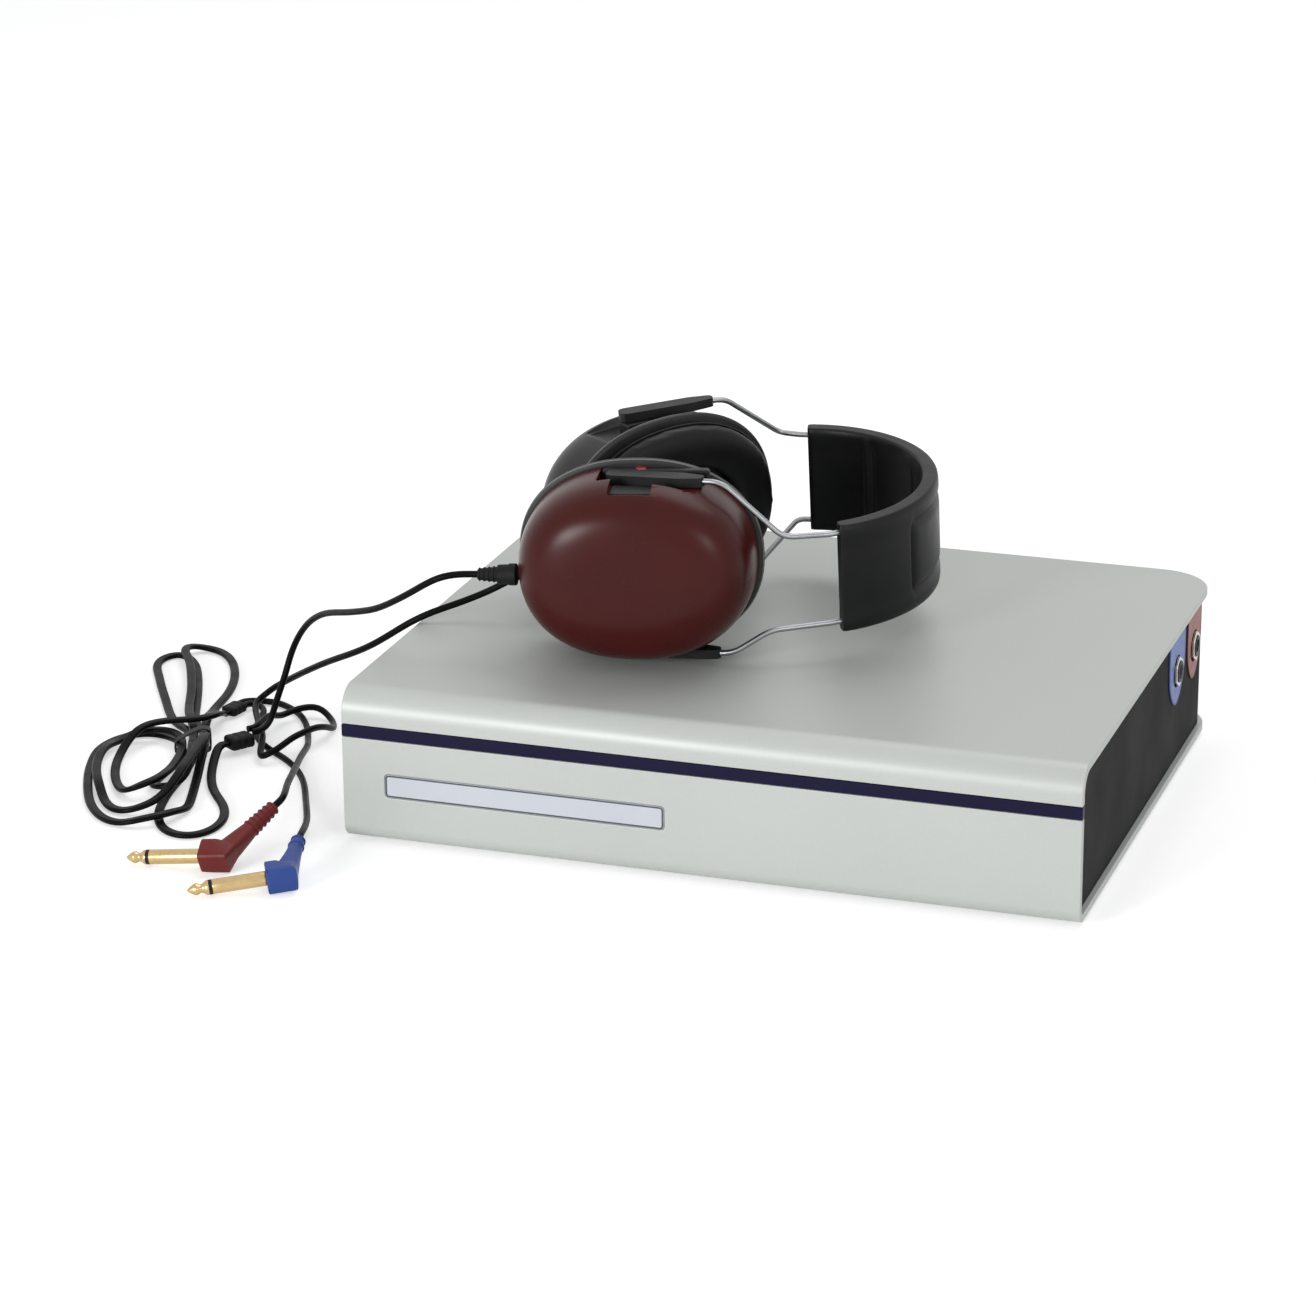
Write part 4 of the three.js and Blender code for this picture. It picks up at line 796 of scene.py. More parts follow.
def plug(name, rubbery, slot, rib_from, count):
    """A plug's pieces: its contact in three lengths, its moulding and the ribs of its boot."""
    tip, elbow, boot = PLUGS[name]
    nose = turned(name + "_contact_tip", TIP_LINE, tip, elbow, gold, 50)
    ring = turned(name + "_contact_ring", RING_LINE, tip, elbow, nylon, 50)
    sleeve = turned(name + "_contact_sleeve", SLEEVE_LINE, tip, elbow, gold, 50)
    settle(nose, "case", "gold_plate", name + "_plug_contact")
    settle(ring, "case", "black_plastic")
    settle(sleeve, "case", "gold_plate")
    # A squared block on the contact's end, a mitred knee and a boot that tapers to the cord.
    t = (elbow - tip).normalized()
    away = (boot - elbow).normalized()
    across = t.cross(away).normalized()
    far, full = (boot - elbow).length, (elbow - tip).length
    rise_t, rise_a = across.cross(t), across.cross(away)
    mitre = (rise_t + rise_a) / (1 + rise_t.dot(rise_a))

    def boot_half(s):
        return BOOT_WIDE - BOOT_NARROWS * max(0, min(1, s / far)) ** 0.9

    steps = ((31.45, 4.9), (31.5, 5.3), (31.75, 5.6), (32.2, PLUG_HALF), (full - 4.4, PLUG_HALF))
    rings = [squared(tip + t * d, across, rise_t, half, SQUARE) for d, half in steps]
    rings.append(squared(elbow, across, mitre, PLUG_HALF, SQUARE))
    for s in (4.2, 5.0, 6.5, 9, 12, 15, 18, 21, 24, far - 3, far - 1, far - 0.4, far):
        if s <= far:
            end = 0.25 if s > far - 0.2 else 0.08 if s > far - 0.6 else 0
            power = 2 + BOOT_SQUARE * max(0, 1 - s / (0.55 * far))
            rings.append(squared(elbow + away * s, across, rise_a, boot_half(s) - end, power))
    rings = [[Vector((p.x, p.y, max(p.z, PLUG_LOW))) for p in one] for one in rings]
    body = eased(rings_mesh(name + "_plug_moulding", rings, rubbery), 0.5, 32, 3)
    settle(body, "case", slot, name + "_plug_body")
    first, last = far * rib_from, far - 0.9
    ribs = ribs_on(name + "_boot_ribs", rubbery, elbow + away * first, elbow + away * last,
                   boot_half(first) + 0.12, boot_half(last) + 0.12, count)
    settle(ribs, "case", slot)
    return [nose, ring, sleeve, body, ribs]


PLUG_PARTS = {
    "red": plug("red", red_pvc, "red_plastic", 0.56, 6),
    "blue": plug("blue", blue_pvc, "blue_plug_plastic", 0.8, 2),
}

# ---------------------------------------------------------------- blocks and tie on the cords

# Along a block, as shares of its length and of its section: soft ends and two pressed grooves.
SLAB_STEPS = (
    (0, 0.78), (0.02, 0.9), (0.08, 1.0), (0.3, 1.0), (0.34, 0.93), (0.38, 1.0),
    (0.62, 1.0), (0.66, 0.93), (0.7, 1.0), (0.92, 1.0), (0.98, 0.9), (1, 0.78))


def slab(name, s, node):
    """A moulded block where cords join or part."""
    a, b = [Vector(p) for p in on_floor([s["a"], s["b"]], s["z"])]
    side = (b - a).normalized().cross(Vector((0, 0, 1)))
    rings = []
    for share, scale in SLAB_STEPS:
        rings.append([
            a.lerp(b, share) + side * (s["half"] * scale * x) + Vector((0, 0, s["high"] * scale * y))
            for x, y in squircle(28, 4.5)])
    made = smooth(rings_mesh(name, rings, rubber), 50)
    return settle(made, "case", "black_rubber", node)


def hull(points):
    """The convex outline of flat points, turning left."""
    points = sorted(set(points))

    def half(run):
        out = []
        for p in run:
            while len(out) > 1:
                (x0, y0), (x1, y1) = out[-2:]
                if (x1 - x0) * (p[1] - y0) > (y1 - y0) * (p[0] - x0):
                    break
                out.pop()
            out.append(p)
        return out[:-1]

    return half(points) + half(points[::-1])


def out_to(flat, mid, ray):
    """How far a ray from the middle of a flat outline runs to its edge."""
    best = 0
    for (x0, y0), (x1, y1) in zip(flat, flat[1:] + flat[:1]):
        ex, ey = x1 - x0, y1 - y0
        down = ray[0] * ey - ray[1] * ex
        if abs(down) > 1e-9:
            far = ((x0 - mid[0]) * ey - (y0 - mid[1]) * ex) / down
            on = ((x0 - mid[0]) * ray[1] - (y0 - mid[1]) * ray[0]) / down
            if far > 0 and -1e-6 <= on <= 1 + 1e-6:
                best = max(best, far)
    return best


# The tie: a point of its plane, the way the strands run through it, and half the width that it holds.
TIE_AT = Vector((-262.9 + MARK[0], -59.8 + MARK[1], 0))
TIE_ALONG = Vector((-0.394, 0.919, 0)).normalized()
TIE_HALF, TIE_LOW = 8.4, 0.3
# The strap's section: along the hank, and out from the strands.
STRAP = ((-2.1, 0.1), (-2.3, 0.5), (-2.1, 0.95), (2.1, 0.95), (2.3, 0.5), (2.1, 0.1))


def tie_band():
    """A flat strap drawn tight round the strands that pass through its plane."""
    side = Vector((0, 0, 1)).cross(TIE_ALONG)
    strand = [(x, y) for x in (-2.0, 2.0) for y in (-TWIN_T / 2, TWIN_T / 2)] + [(-2.2, 0), (2.2, 0)]
    found = []
    for shift in (-2.4, 0, 2.4):
        for p, q in zip(hank_line, hank_line[1:]):
            a, b = [(v - TIE_AT).dot(TIE_ALONG) - shift for v in (p, q)]
            if a * b <= 0 and abs(a - b) > 1e-6:
                m = p.lerp(q, a / (a - b))
                s = (m - TIE_AT).dot(side)
                if abs(s) < TIE_HALF - 1:
                    found += [(round(s + x, 3), round(m.z + y, 3)) for x, y in strand]
    flat = hull([(x, max(z, 0.9)) for x, z in found])
    mid = [sum(values) / len(flat) for values in zip(*flat)]
    # Even steps round the outline, softened at the corners.
    rays = circle(1, 60)
    reach = [out_to(flat, mid, ray) for ray in rays]
    for _ in range(2):
        reach = [(reach[j - 1] + 2 * reach[j] + reach[(j + 1) % 60]) / 4 for j in range(60)]
    rings = []
    for along, out in STRAP:
        ring = []
        for (c, s), r in zip(rays, reach):
            level = max(TIE_LOW, mid[1] + (r + out) * s)
            ring.append(TIE_AT + TIE_ALONG * along + side * (mid[0] + (r + out) * c) + Vector((0, 0, level)))
        rings.append(ring)
    strap = smooth(rings_mesh("tie_strap", rings, nylon, loop=True), 50)
    return settle(strap, "case", "black_plastic", "hank_tie")


splitter = slab("y_splitter", SPLIT, "cord_splitter")
divider = slab("tail_split", DIVIDE, "tail_divider")
tie = tie_band()

# ---------------------------------------------------------------- round cords


def cord_piece(name, line, node):
    """A length of round cord that stands for a CAD node, not yet tied to a body."""
    made = smooth(swept(name, line, circle(CORD_R, 14), cord_pvc), 80)
    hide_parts(node)
    return made


for colour in ("red", "blue"):
    node = colour + "_tail_cord"
    made = cord_piece(node + "_jacket", lines[node], node)
    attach(made, "case")
# A cup's cord is made of two lengths, the one at the cup and the one after it; neither is
# tied to a body.
for name, near in (("right", 30), ("left", 34)):
    line = lines[name + "_cup_cord"]
    a, b, c = line[3], line[near], line[near + 26]
    made = cord_piece(name + "_cup_cord_near", line[:near + 1], name + "_cup_cord")
    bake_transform(made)
    made = cord_piece(name + "_cup_cord_far", line[near:], name + "_cup_cord")
    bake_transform(made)

# ---------------------------------------------------------------- case

# Half the case's width and depth, its height, the sheet, and the rounds of its folds and corners.
X, Y, CASE_H, SHEET = 160, 130.6, 67.2, 3.2
TOP_ROUND, BASE_ROUND, REAR_ROUND = 11.4, 6.6, 25
STRIP_LOW, STRIP_HIGH = 46.2, 51.7
SEAM = 0.15  # gap between a cover and the strip
UP = Matrix.Translation((0, 0, FOOT_H))


def arc(cx, cy, r, a0, a1, steps):
    """Points on a circle's arc from a0 to a1 degrees."""
    turns = [math.radians(a0 + (a1 - a0) * i / steps) for i in range(steps + 1)]
    return [(cx + r * math.cos(w), cy + r * math.sin(w)) for w in turns]


def folded_cover(name, front, level, material):
    """A sheet folded along the front: the front line in Y and Z, then a flat field at one level
    with round rear corners; it gets its thickness inwards."""
    points, faces = [], []
    for y, z in front:
        points += [(-X, y, z), (X, y, z)]
    for i in range(len(front) - 1):
        faces.append((2 * i, 2 * i + 1, 2 * i + 3, 2 * i + 2))
    rear = arc(X - REAR_ROUND, Y - REAR_ROUND, REAR_ROUND, 0, 90, 20)
    rear += arc(-X + REAR_ROUND, Y - REAR_ROUND, REAR_ROUND, 90, 180, 20)
    first = len(points)
    points += [(x, y, level) for x, y in rear]
    faces.append((first - 2, first - 1, *range(first, first + len(rear))))
    made = piece(name, points, faces, material, UP)
    # The sheet's outer side is the one away from the case's middle.
    mid = Vector((0, 0, (CASE_H / 2 + FOOT_H) * MM))
    field = max(made.data.polygons, key=lambda f: f.area)
    if field.normal.dot(field.center - mid) < 0:
        made.data.flip_normals()
    wall = made.modifiers.new("thickness", "SOLIDIFY")
    wall.thickness = SHEET * MM
    wall.offset = -1
    wall.use_even_offset = True
    return baked(made)


top_front = [(-Y, STRIP_HIGH + SEAM)] + arc(-Y + TOP_ROUND, CASE_H - TOP_ROUND, TOP_ROUND, 180, 90, 24)
top = folded_cover("top_cover_sheet", top_front, CASE_H, paint)
settle(eased(top, 0.45, 40, 3), "case", "silver_paint", "top_cover")
base_front = [(-Y, STRIP_LOW - SEAM)] + arc(-Y + BASE_ROUND, BASE_ROUND, BASE_ROUND, 180, 270, 18)
base = folded_cover("base_cover_sheet", base_front, 0, paint)

PLATE_X, PLATE_Z = (-140.8, -16.9), (20.8, 30.9)


def plate_outline(by, r):
    """The name plate's rounded outline in X and Z, by mm inside its edge."""
    x0, x1, z0, z1 = PLATE_X[0] + by, PLATE_X[1] - by, PLATE_Z[0] + by, PLATE_Z[1] - by
    out = []
    corners = ((x1 - r, z1 - r), (x0 + r, z1 - r), (x0 + r, z0 + r), (x1 - r, z0 + r))
    for i, (cx, cz) in enumerate(corners):
        out += arc(cx, cz, r, 90 * i, 90 * i + 90, 8)
    return out


def on_front(name, lines, material, loop=False):
    """Outlines in X and Z, each at its own distance behind the case's front."""
    rings = [[(x, y - Y, z) for x, z in line] for line, y in lines]
    return rings_mesh(name, rings, material, UP, loop)


pocket_line, plate_line = plate_outline(-0.3, 1.9), plate_outline(0, 1.6)
cut(base, on_front("pocket_tool", ((pocket_line, -1), (pocket_line, 0.9)), paint))
settle(eased(base, 0.4, 40, 3), "case", "silver_paint", "base_cover")

# Stand-offs under the boards, from inside the floor's sheet to the boards' undersides.
POSTS = (
    (-122, -92), (52, -92), (-122, 52), (52, 52), (-122, 82), (20, 82),
    (-122, 108), (20, 108), (95, 28), (122, 28), (95, 108), (122, 108))
POST_R, POST_LOW, POST_HIGH = 4, SHEET - 0.4, 9.2
dots = [(x * MM, y * MM, ((POST_LOW + POST_HIGH) / 2 + FOOT_H) * MM) for x, y in POSTS]
posts = grown("board_stand_offs", post_tree(paint),
              {"Radius": POST_R * MM, "Height": (POST_HIGH - POST_LOW) * MM}, dots)
settle(smooth(posts, 40), "case", "silver_paint", "base_cover")

plate = on_front("name_plate_film", ((plate_line, 0.05), (plate_line, 0.6)), plate_film)
settle(eased(plate, 0.12, 40, 2), "case", "plate_film", "name_plate")
outer, inner = plate_outline(0.15, 1.5), plate_outline(0.85, 0.9)
edge = on_front("name_plate_outline", ((outer, 0.06), (outer, 0.01), (inner, 0.01), (inner, 0.06)),
                outline_ink, loop=True)
settle(smooth(edge), "case", "plate_film")

dressed("front_strip", "front_strip_moulding", strip_abs, "case", "navy_plastic", 0.35)
dressed("wall_panel", "inner_wall", wall_coat, "case", "dark_plastic", 0.3, flat=0.5)

# Colour fields round the sockets, each with a darker printed line along its edge.
WALL_X = X - 2.3
SOCKET_Z, HOLE_R = 46, 7.3
WALL_TOP = CASE_H - SHEET - FIT - 0.4


def bend(points, steps=16):
    """A curve that starts at the first of four points and ends at the last, drawn to the others."""
    out = []
    for i in range(steps + 1):
        w = i / steps
        parts = ((1 - w) ** 3, 3 * w * (1 - w) ** 2, 3 * w * w * (1 - w), w ** 3)
        out.append(tuple(sum(part * p[k] for part, p in zip(parts, points)) for k in (0, 1)))
    return out


def tongue(middle, half, low, by):
    """A field's outline in Y and Z: straight above, a round tongue below, by mm inside its edge."""
    h, b = half - by, low + by
    left = bend(((middle - h, SOCKET_Z + 4), (middle - h, b + 9), (middle - h * 0.45, b), (middle, b)))
    right = bend(((middle, b), (middle + h * 0.45, b), (middle + h, b + 9), (middle + h, SOCKET_Z + 4)))
    return [(middle - h, WALL_TOP - by), *left, *right, (middle + h, WALL_TOP - by)]


def on_wall(name, lines, material, loop=False):
    """Outlines in Y and Z, each at its own distance out from the inner wall."""
    rings = [[(WALL_X + x, y, z) for y, z in line] for line, x in lines]
    return rings_mesh(name, rings, material, UP, loop)


for name, middle, half, low, ink, line_ink in (
        ("blue", 55.8, 15.9, 30.7, blue_ink, blue_line), ("red", 91.3, 14.1, 31, red_ink, red_line)):
    outer = tongue(middle, half, low, 0)
    field = on_wall(name + "_socket_field", ((outer, 0.2), (outer, 0.6)), ink)
    centre = Vector((WALL_X, middle, SOCKET_Z + FOOT_H))
    out = Vector((1, 0, 0))
    cut(field, turned("hole_tool", [(0, HOLE_R), (3, HOLE_R)], centre - out * 0.5, centre + out * 3, ink, 40))
    settle(smooth(field, 30), "case", name + "_film", name + "_socket_label")
    a, b = tongue(middle, half, low, 0.2), tongue(middle, half, low, 0.95)
    line = on_wall(name + "_field_line", ((a, 0.6), (a, 0.65), (b, 0.65), (b, 0.6)), line_ink, loop=True)
    settle(smooth(line, 30), "case", name + "_film")
    dressed(name + "_phone_socket", name + "_socket_body", nylon, "case", "black_plastic", 0.25)
    dressed(name + "_socket_nut", name + "_hexagon_nut", nickel, "case", "plated_steel", 0.3, 25)
    # Plated sleeve in the socket's mouth, open at both ends.
    sleeve_line = [(-6, 3.3), (2.15, 3.3), (2.2, 3.45), (2.2, 3.9), (2.1, 4.05), (1.9, 4.05)]
    mouth = turned(name + "_socket_sleeve", sleeve_line, centre, centre + out, nickel, 50)
    bm = bmesh.new()
    bm.from_mesh(mouth.data)
    ends = [f for f in bm.faces if len(f.verts) > 8]
    bmesh.ops.delete(bm, geom=ends, context="FACES_ONLY")
    bm.to_mesh(mouth.data)
    bm.free()
    wall = mouth.modifiers.new("thickness", "SOLIDIFY")
    wall.thickness = 0.12 * MM
    settle(baked(mouth), "case", "plated_steel")

# Rear connectors: the mains inlet with its pins, the data socket with its contacts, the switch.
REAR_Z, WALL_Y, MAINS_X, DATA_X = 32, Y - 2.3, 92, 8
for node, name, material, body, slot, width, segments in (
        ("mains_inlet", "mains_inlet_moulding", nylon, "case", "black_plastic", 0.5, 3),
        ("usb_socket", "data_socket_shell", nickel, "case", "plated_steel", 0.2, 2),
        ("rocker_frame", "rocker_switch_frame", nylon, "case", "black_plastic", 0.3, 2),
        ("power_rocker", "rocker_switch_key", nylon, "rocker", "black_plastic", 0.5, 3)):
    dressed(node, name, material, body, slot, width, 40, segments)
for i, (dx, dz) in enumerate(((-7, -1.8), (7, -1.8), (0, 2.8))):
    x, z = MAINS_X + dx, REAR_Z + dz
    pin = block("mains_pin_%d" % i, (x - 1, x + 1), (WALL_Y - 18.2, WALL_Y - 3.2), (z - 2, z + 2),
                nickel, UP, 0.45, 3)
    settle(pin, "case", "plated_steel")
tongue_block = block("data_socket_tongue", (DATA_X - 2.8, DATA_X + 2.8), (WALL_Y - 12.2, WALL_Y - 1.2),
                     (REAR_Z - 1.4, REAR_Z + 1.6), nylon, UP, 0.3, 2)
settle(tongue_block, "case", "black_plastic")
for i in range(4):
    x = DATA_X - 2.1 + 1.2 * i
    contact = block("data_contact_%d" % i, (x, x + 0.6), (WALL_Y - 11.5, WALL_Y - 1.8),
                    (REAR_Z - 1.55, REAR_Z - 1.38), gold, UP, 0.05, 1)
    settle(contact, "case", "gold_plate")

# Inside: boards with their parts, transformer; below: the feet.
for node, slot, material, width in (
        ("main_board", "board", board, 0.1), ("power_supply_board", "board", board, 0.1),
        ("earphone_amplifier_board", "board", board, 0.1),
        ("signal_processor", "black_plastic", nylon, 0.2), ("mains_transformer", "iron", iron, 0.6)):
    dressed(node, node + "_piece", material, "case", slot, width, 35)
for node in ("front_left_foot", "front_right_foot", "rear_left_foot", "rear_right_foot"):
    dressed(node, node + "_pad", rubber, "case", "black_rubber", 0.4, 50, 3)

# ---------------------------------------------------------------- cups

# A cup's own axes: along its sliders, out through its shell, and up.
SHELL_B, SHELL_W, SHELL_N = 50.6, 40.1, 2.23  # half its length and height, the power of its oval
DOME_P, DOME_TOP, DOME_FOOT = 3.9, 31.5, 8.5
RIM_B, RIM_W, RIM_BACK, RIM_T = 52.9, 42.4, 10.5, 2.7
RIM_TOP = RIM_BACK + RIM_T
# The cushion: half the length and height of its middle line, and half its thickness both ways.
CUSHION_B, CUSHION_W, CUSHION_THICK_B, CUSHION_THICK_W, CUSHION_END = 38.6, 29.2, 10.4, 9.8, 24.5
SLIDER_IN, SLIDER_OUT, WIRE_END_B, WIRE_R = 35, 39, 8, 1.25
POCKET_FLOOR = 34.7
PIN_R, PIN_FOOT, PIN_TOP, BOSS_R, BOSS_FOOT = 2, 33.5, 37.4, 3.55, 33.8


def outline(hb, hw, a, n=SHELL_N, count=96):
    """A cup's oval at level a, half hb long and half hw high."""
    ring = []
    for i in range(count):
        t = 2 * math.pi * (i + 0.5) / count
        c, s = math.cos(t), math.sin(t)
        ring.append((hb * math.copysign(abs(c) ** (2 / n), c), a, hw * math.copysign(abs(s) ** (2 / n), s)))
    return ring


def dome(side, name, material):
    """A cup's shell, with the pockets that its sliders lie in."""
    o = side["out"]
    foot = RIM_BACK - FIT
    rings = [outline(SHELL_B - 0.5, SHELL_W - 0.5, -o * foot), outline(SHELL_B, SHELL_W, -o * (foot - 0.5))]
    for i in range(27):
        u = math.cos(math.pi / 2 * i / 27.5) ** 0.62
        h = (1 - min(u, 1) ** DOME_P) ** (1 / DOME_P)
        rings.append(outline(SHELL_B * u, SHELL_W * u, o * (-DOME_FOOT + (DOME_TOP + DOME_FOOT) * h)))
    made = rings_mesh(name, rings, material)
    # The near cup's pockets are shorter, because it turns less.
    cuts = [((-24, 36), (-RIM_BACK - 1, 14), s) for s in (1, -1)]
    if o < 0:
        cuts = [(b, (a, RIM_BACK + 1), s) for b, a in (((-15.4, 4), -9), ((3, 36), -14)) for s in (1, -1)]
        # A deeper notch beside the upper pivot, which holds the black plate of painted shade.
        cuts.append(((-9, 9.5), (-21.5, 4), 1))
    for b, a, s in cuts:
        level = (POCKET_FLOOR, 60) if s > 0 else (-60, -POCKET_FLOOR)
        cut(made, block("pocket_tool", b, a, level, material, None, 1.4))
    for step in (Matrix.Scale(1 / MM, 4), cup_matrix(side), Matrix.Scale(MM, 4)):
        made.data.transform(step)
    return smooth(made, 32)


def rim_ring(name, side, section, material, angle):
    """A ring whose section is given as pairs: how far in from the rim's outline, and the height."""
    rings = [outline(RIM_B - inn, RIM_W - inn, -side["out"] * a) for inn, a in section]
    return smooth(rings_mesh(name, rings, material, cup_matrix(side), loop=True), angle)


# Rim: a rounded lip and, inside it, the flat plate that holds the driver.
LIP = [(inn, RIM_BACK + a) for inn, a in (
    (13, 0.2), (2.4, 0), (0.9, 0.1), (0.3, 0.45), (0, 1.0), (0, 1.7), (0.3, 2.25), (0.9, RIM_T - 0.1),
    (1.6, RIM_T), (22, RIM_T), (24, RIM_T - 0.4), (24, 0.4), (22, 0.2))]
# A thin light grey ring along the lip's edge: a painted highlight on the rim.
BEAD = [(0.4 + x, RIM_BACK + 0.4 + y) for x, y in circle(0.34, 8)]
# Strain relief as pairs of distance and radius: the foot, the wide collar and the tapering neck.
RELIEF = [
    (0, 2.2), (3.9, 2.25), (4.2, 4.4), (4.6, 4.75), (7.5, 4.7), (8, 4.35), (12.4, 4.15), (12.8, 3.3),
    (13.2, 3.25), (20.6, 2.5), (21.2, 2.2), (GLAND_L + 4, 1.95)]
# Foam cover in a cup's mouth, slightly crowned: share of its outline, and height over the rim.
FOAM = ((1.0, 0.3), (1.0, 0.9), (0.985, 1.3), (0.95, 1.55), (0.8, 1.7), (0.5, 1.8), (0.2, 1.85))

for name, side, material, slot in (
        ("right", RIGHT, cup_abs, "burgundy_plastic"), ("left", LEFT, black_cup_abs, "black_gloss_plastic")):
    body = name + "_cup"
    m = cup_matrix(side)
    settle(dome(side, name + "_earcup", material), body, slot, name + "_cup_shell")
    settle(rim_ring(name + "_rim_ring", side, LIP, rim_abs, 50), body, "black_plastic", name + "_cup_rim")
    # The light grey bead round the lip, a painted highlight.
    settle(rim_ring(name + "_rim_highlight_bead", side, BEAD, rim_highlight_abs, 80), body, "black_plastic")
    dressed(name + "_driver", name + "_driver_capsule", nylon, body, "black_plastic", 0.3)
    # Pins that the sliders turn on, and a boss where the slider stands off.
    for which, up, gap in (("upper", 1, side["rise"]), ("lower", -1, side["sag"])):
        def pin_part(kind, profile, low, high, sides):
            a, b = [m @ Vector((PIN_B, 0, z)) for z in sorted((up * low, up * high))]
            part = turned("%s_%s_%s" % (name, which, kind), profile, a, b, nylon, 40, sides)
            settle(part, body, "black_plastic")

        pin_part("pin", [(0, PIN_R), (PIN_TOP + gap - PIN_FOOT, PIN_R)], PIN_FOOT, PIN_TOP + gap, 24)
        if gap:
            high = SLIDER_IN + gap - FIT
            long = high - BOSS_FOOT
            pin_part("boss", [(0, BOSS_R - 0.25), (0.2, BOSS_R), (long - 0.2, BOSS_R), (long, BOSS_R - 0.25)],
                     BOSS_FOOT, high, 28)
    a, b = gland_point(side, 4), gland_point(side, -GLAND_L)
    relief = turned(name + "_strain_relief", RELIEF, a, b, rubber, 40, 36)
    settle(relief, body, "black_rubber", name + "_gland")
    t = (b - a).normalized()
    ribs = ribs_on(name + "_strain_ribs", rubber, a + t * 14.2, a + t * 20.4, 3.15, 2.5, 4)
    settle(ribs, body, "black_rubber")
    rings = [
        outline(26 * share, 17.2 * share, -side["out"] * (RIM_TOP + rise), 2.2, 72) for share, rise in FOAM]
    foam = smooth(rings_mesh(name + "_ear_foam", rings, knit, m), 40)
    settle(foam, body, "liner_fabric", name + "_ear_liner")
    # Sliders: bars that the wires end in, with a raised spine and a bore for the wire.
    for which in ("upper", "lower"):
        node = "%s_%s_slider" % (name, which)
        dressed(node, node + "_bar", nylon, name + "_sliders", "black_plastic", 0.55, 30, 3)

# The far cup's raised pivot block below its upper slider, a black plate in the gap of the near
# cup's shell beside its upper pivot, which is painted shade for the shadow in that recess,
# and the bracket beside its upper slider, which bears the red mark of the right ear.
for name, cup, side, x, y, z, width, segments in (
        ("left_pivot_block", "left_cup", LEFT, (-12.5, 7.5), (-4.1, 4.1),
         (33.9, SLIDER_IN + LEFT["rise"] - FIT), 1.0, 4),
        ("right_pivot_plate", "right_cup", RIGHT, (-8.8, 9.3), (-17.6, -5.0), (34.2, 35.4), 0.6, 3),
        ("right_mark_bracket", "right_cup", RIGHT, (-14.9, 31), (5.0, 10.1), (33.6, 38.9), 1.1, 4)):
    settle(block(name, x, y, z, nylon, cup_matrix(side), width, segments), cup, "black_plastic")
a, b = [cup_matrix(RIGHT) @ Vector((1.8, 7.8, z)) for z in (38.8, 39.5)]
mark = turned("right_ear_mark", [(0, 2.3), (0.3, 2.3), (0.42, 2.1)], a, b, dot_paint, 40, 28)
settle(mark, "right_cup", "red_plastic")

# ---------------------------------------------------------------- padded pieces


def puffed(made, voxel, cap, pressure=3.0, frames=16):
    """Remeshes a closed skin and lets air into it; no point moves further than cap mm."""
    grid = made.modifiers.new("grid", "REMESH")
    grid.mode = "VOXEL"
    grid.voxel_size = voxel * MM
    baked(made)
    rest = [v.co.copy() for v in made.data.vertices]
    cloth = made.modifiers.new("air", "CLOTH")
    rules = cloth.settings
    rules.quality = 5
    rules.mass = 0.15
    rules.tension_stiffness = rules.compression_stiffness = 12
    rules.shear_stiffness = 6
    rules.bending_stiffness = 0.8
    rules.use_pressure = True
    rules.uniform_pressure_force = pressure
    rules.effector_weights.gravity = 0
    cloth.point_cache.frame_start, cloth.point_cache.frame_end = 1, frames
    for i in range(1, frames + 1):
        scene.frame_set(i)
    baked(made)
    for v, r in zip(made.data.vertices, rest):
        move = v.co - r
        if move.length > cap * MM:
            v.co = r + move.normalized() * (cap * MM)
    scene.frame_set(1)
    return made


def cushion_rings(side, count=16):
    """Rings round the cushion's section: a soft tube with a crease on its inner and outer side."""
    start_a = RIM_TOP + FIT
    thick = CUSHION_END - start_a
    rings = []
    for c, s in circle(1, count):
        across, up = [math.copysign(abs(v) ** 0.8, v) for v in (c, s)]
        bulge = 1 - 0.12 * max(0, -up)
        level = -side["out"] * (start_a + thick * (0.5 + 0.47 * up))
        rings.append(outline(CUSHION_B + CUSHION_THICK_B * across * bulge,
                             CUSHION_W + CUSHION_THICK_W * across * bulge, level, 2.2))
    return rings


SEAM_POINTS = 120

for name, side in (("right", RIGHT), ("left", LEFT)):
    m = cup_matrix(side)
    soft = puffed(rings_mesh(name + "_ear_cushion", cushion_rings(side), vinyl, m, loop=True), 2.2, 0.9)
    more = soft.modifiers.new("finer", "SUBSURF")
    more.levels = more.render_levels = 1
    soft = smooth(baked(soft), 80)
    settle(soft, name + "_cup", "pad_cover", name + "_cushion")
    # Welded seam round the outside.
    line = outline(49.3, 38.9, -side["out"] * (RIM_TOP + FIT + 4.2), 2.2, SEAM_POINTS)
    line = [m @ Vector(p) for p in line]
    up = (m.to_3x3() @ Vector((0, 1, 0))).normalized()
    rings = []
    for i, p in enumerate(line):
        t = (line[(i + 1) % SEAM_POINTS] - line[i - 1]).normalized()
        outw = t.cross(up).normalized()
        rings.append([p + outw * (0.5 * c) + up * (0.38 * s) for c, s in circle(1, 8)])
    seam = smooth(rings_mesh(name + "_cushion_seam", rings, vinyl, loop=True), 80)
    settle(seam, name + "_cup", "pad_cover")

# ---------------------------------------------------------------- headband

PAD_C, PAD_YAW, PAD_ROLL = (-3.2, 17.2, 108.3), -5.8, 5.7
PAD_R, PAD_T, PAD_HALF = 61.4, 8, 24.8  # outer radius, thickness, half the width
PAD_FROM, PAD_TO = -50, 108  # degrees round the band
WIRE_W = 20.5  # the band wires' distance from the band's middle line
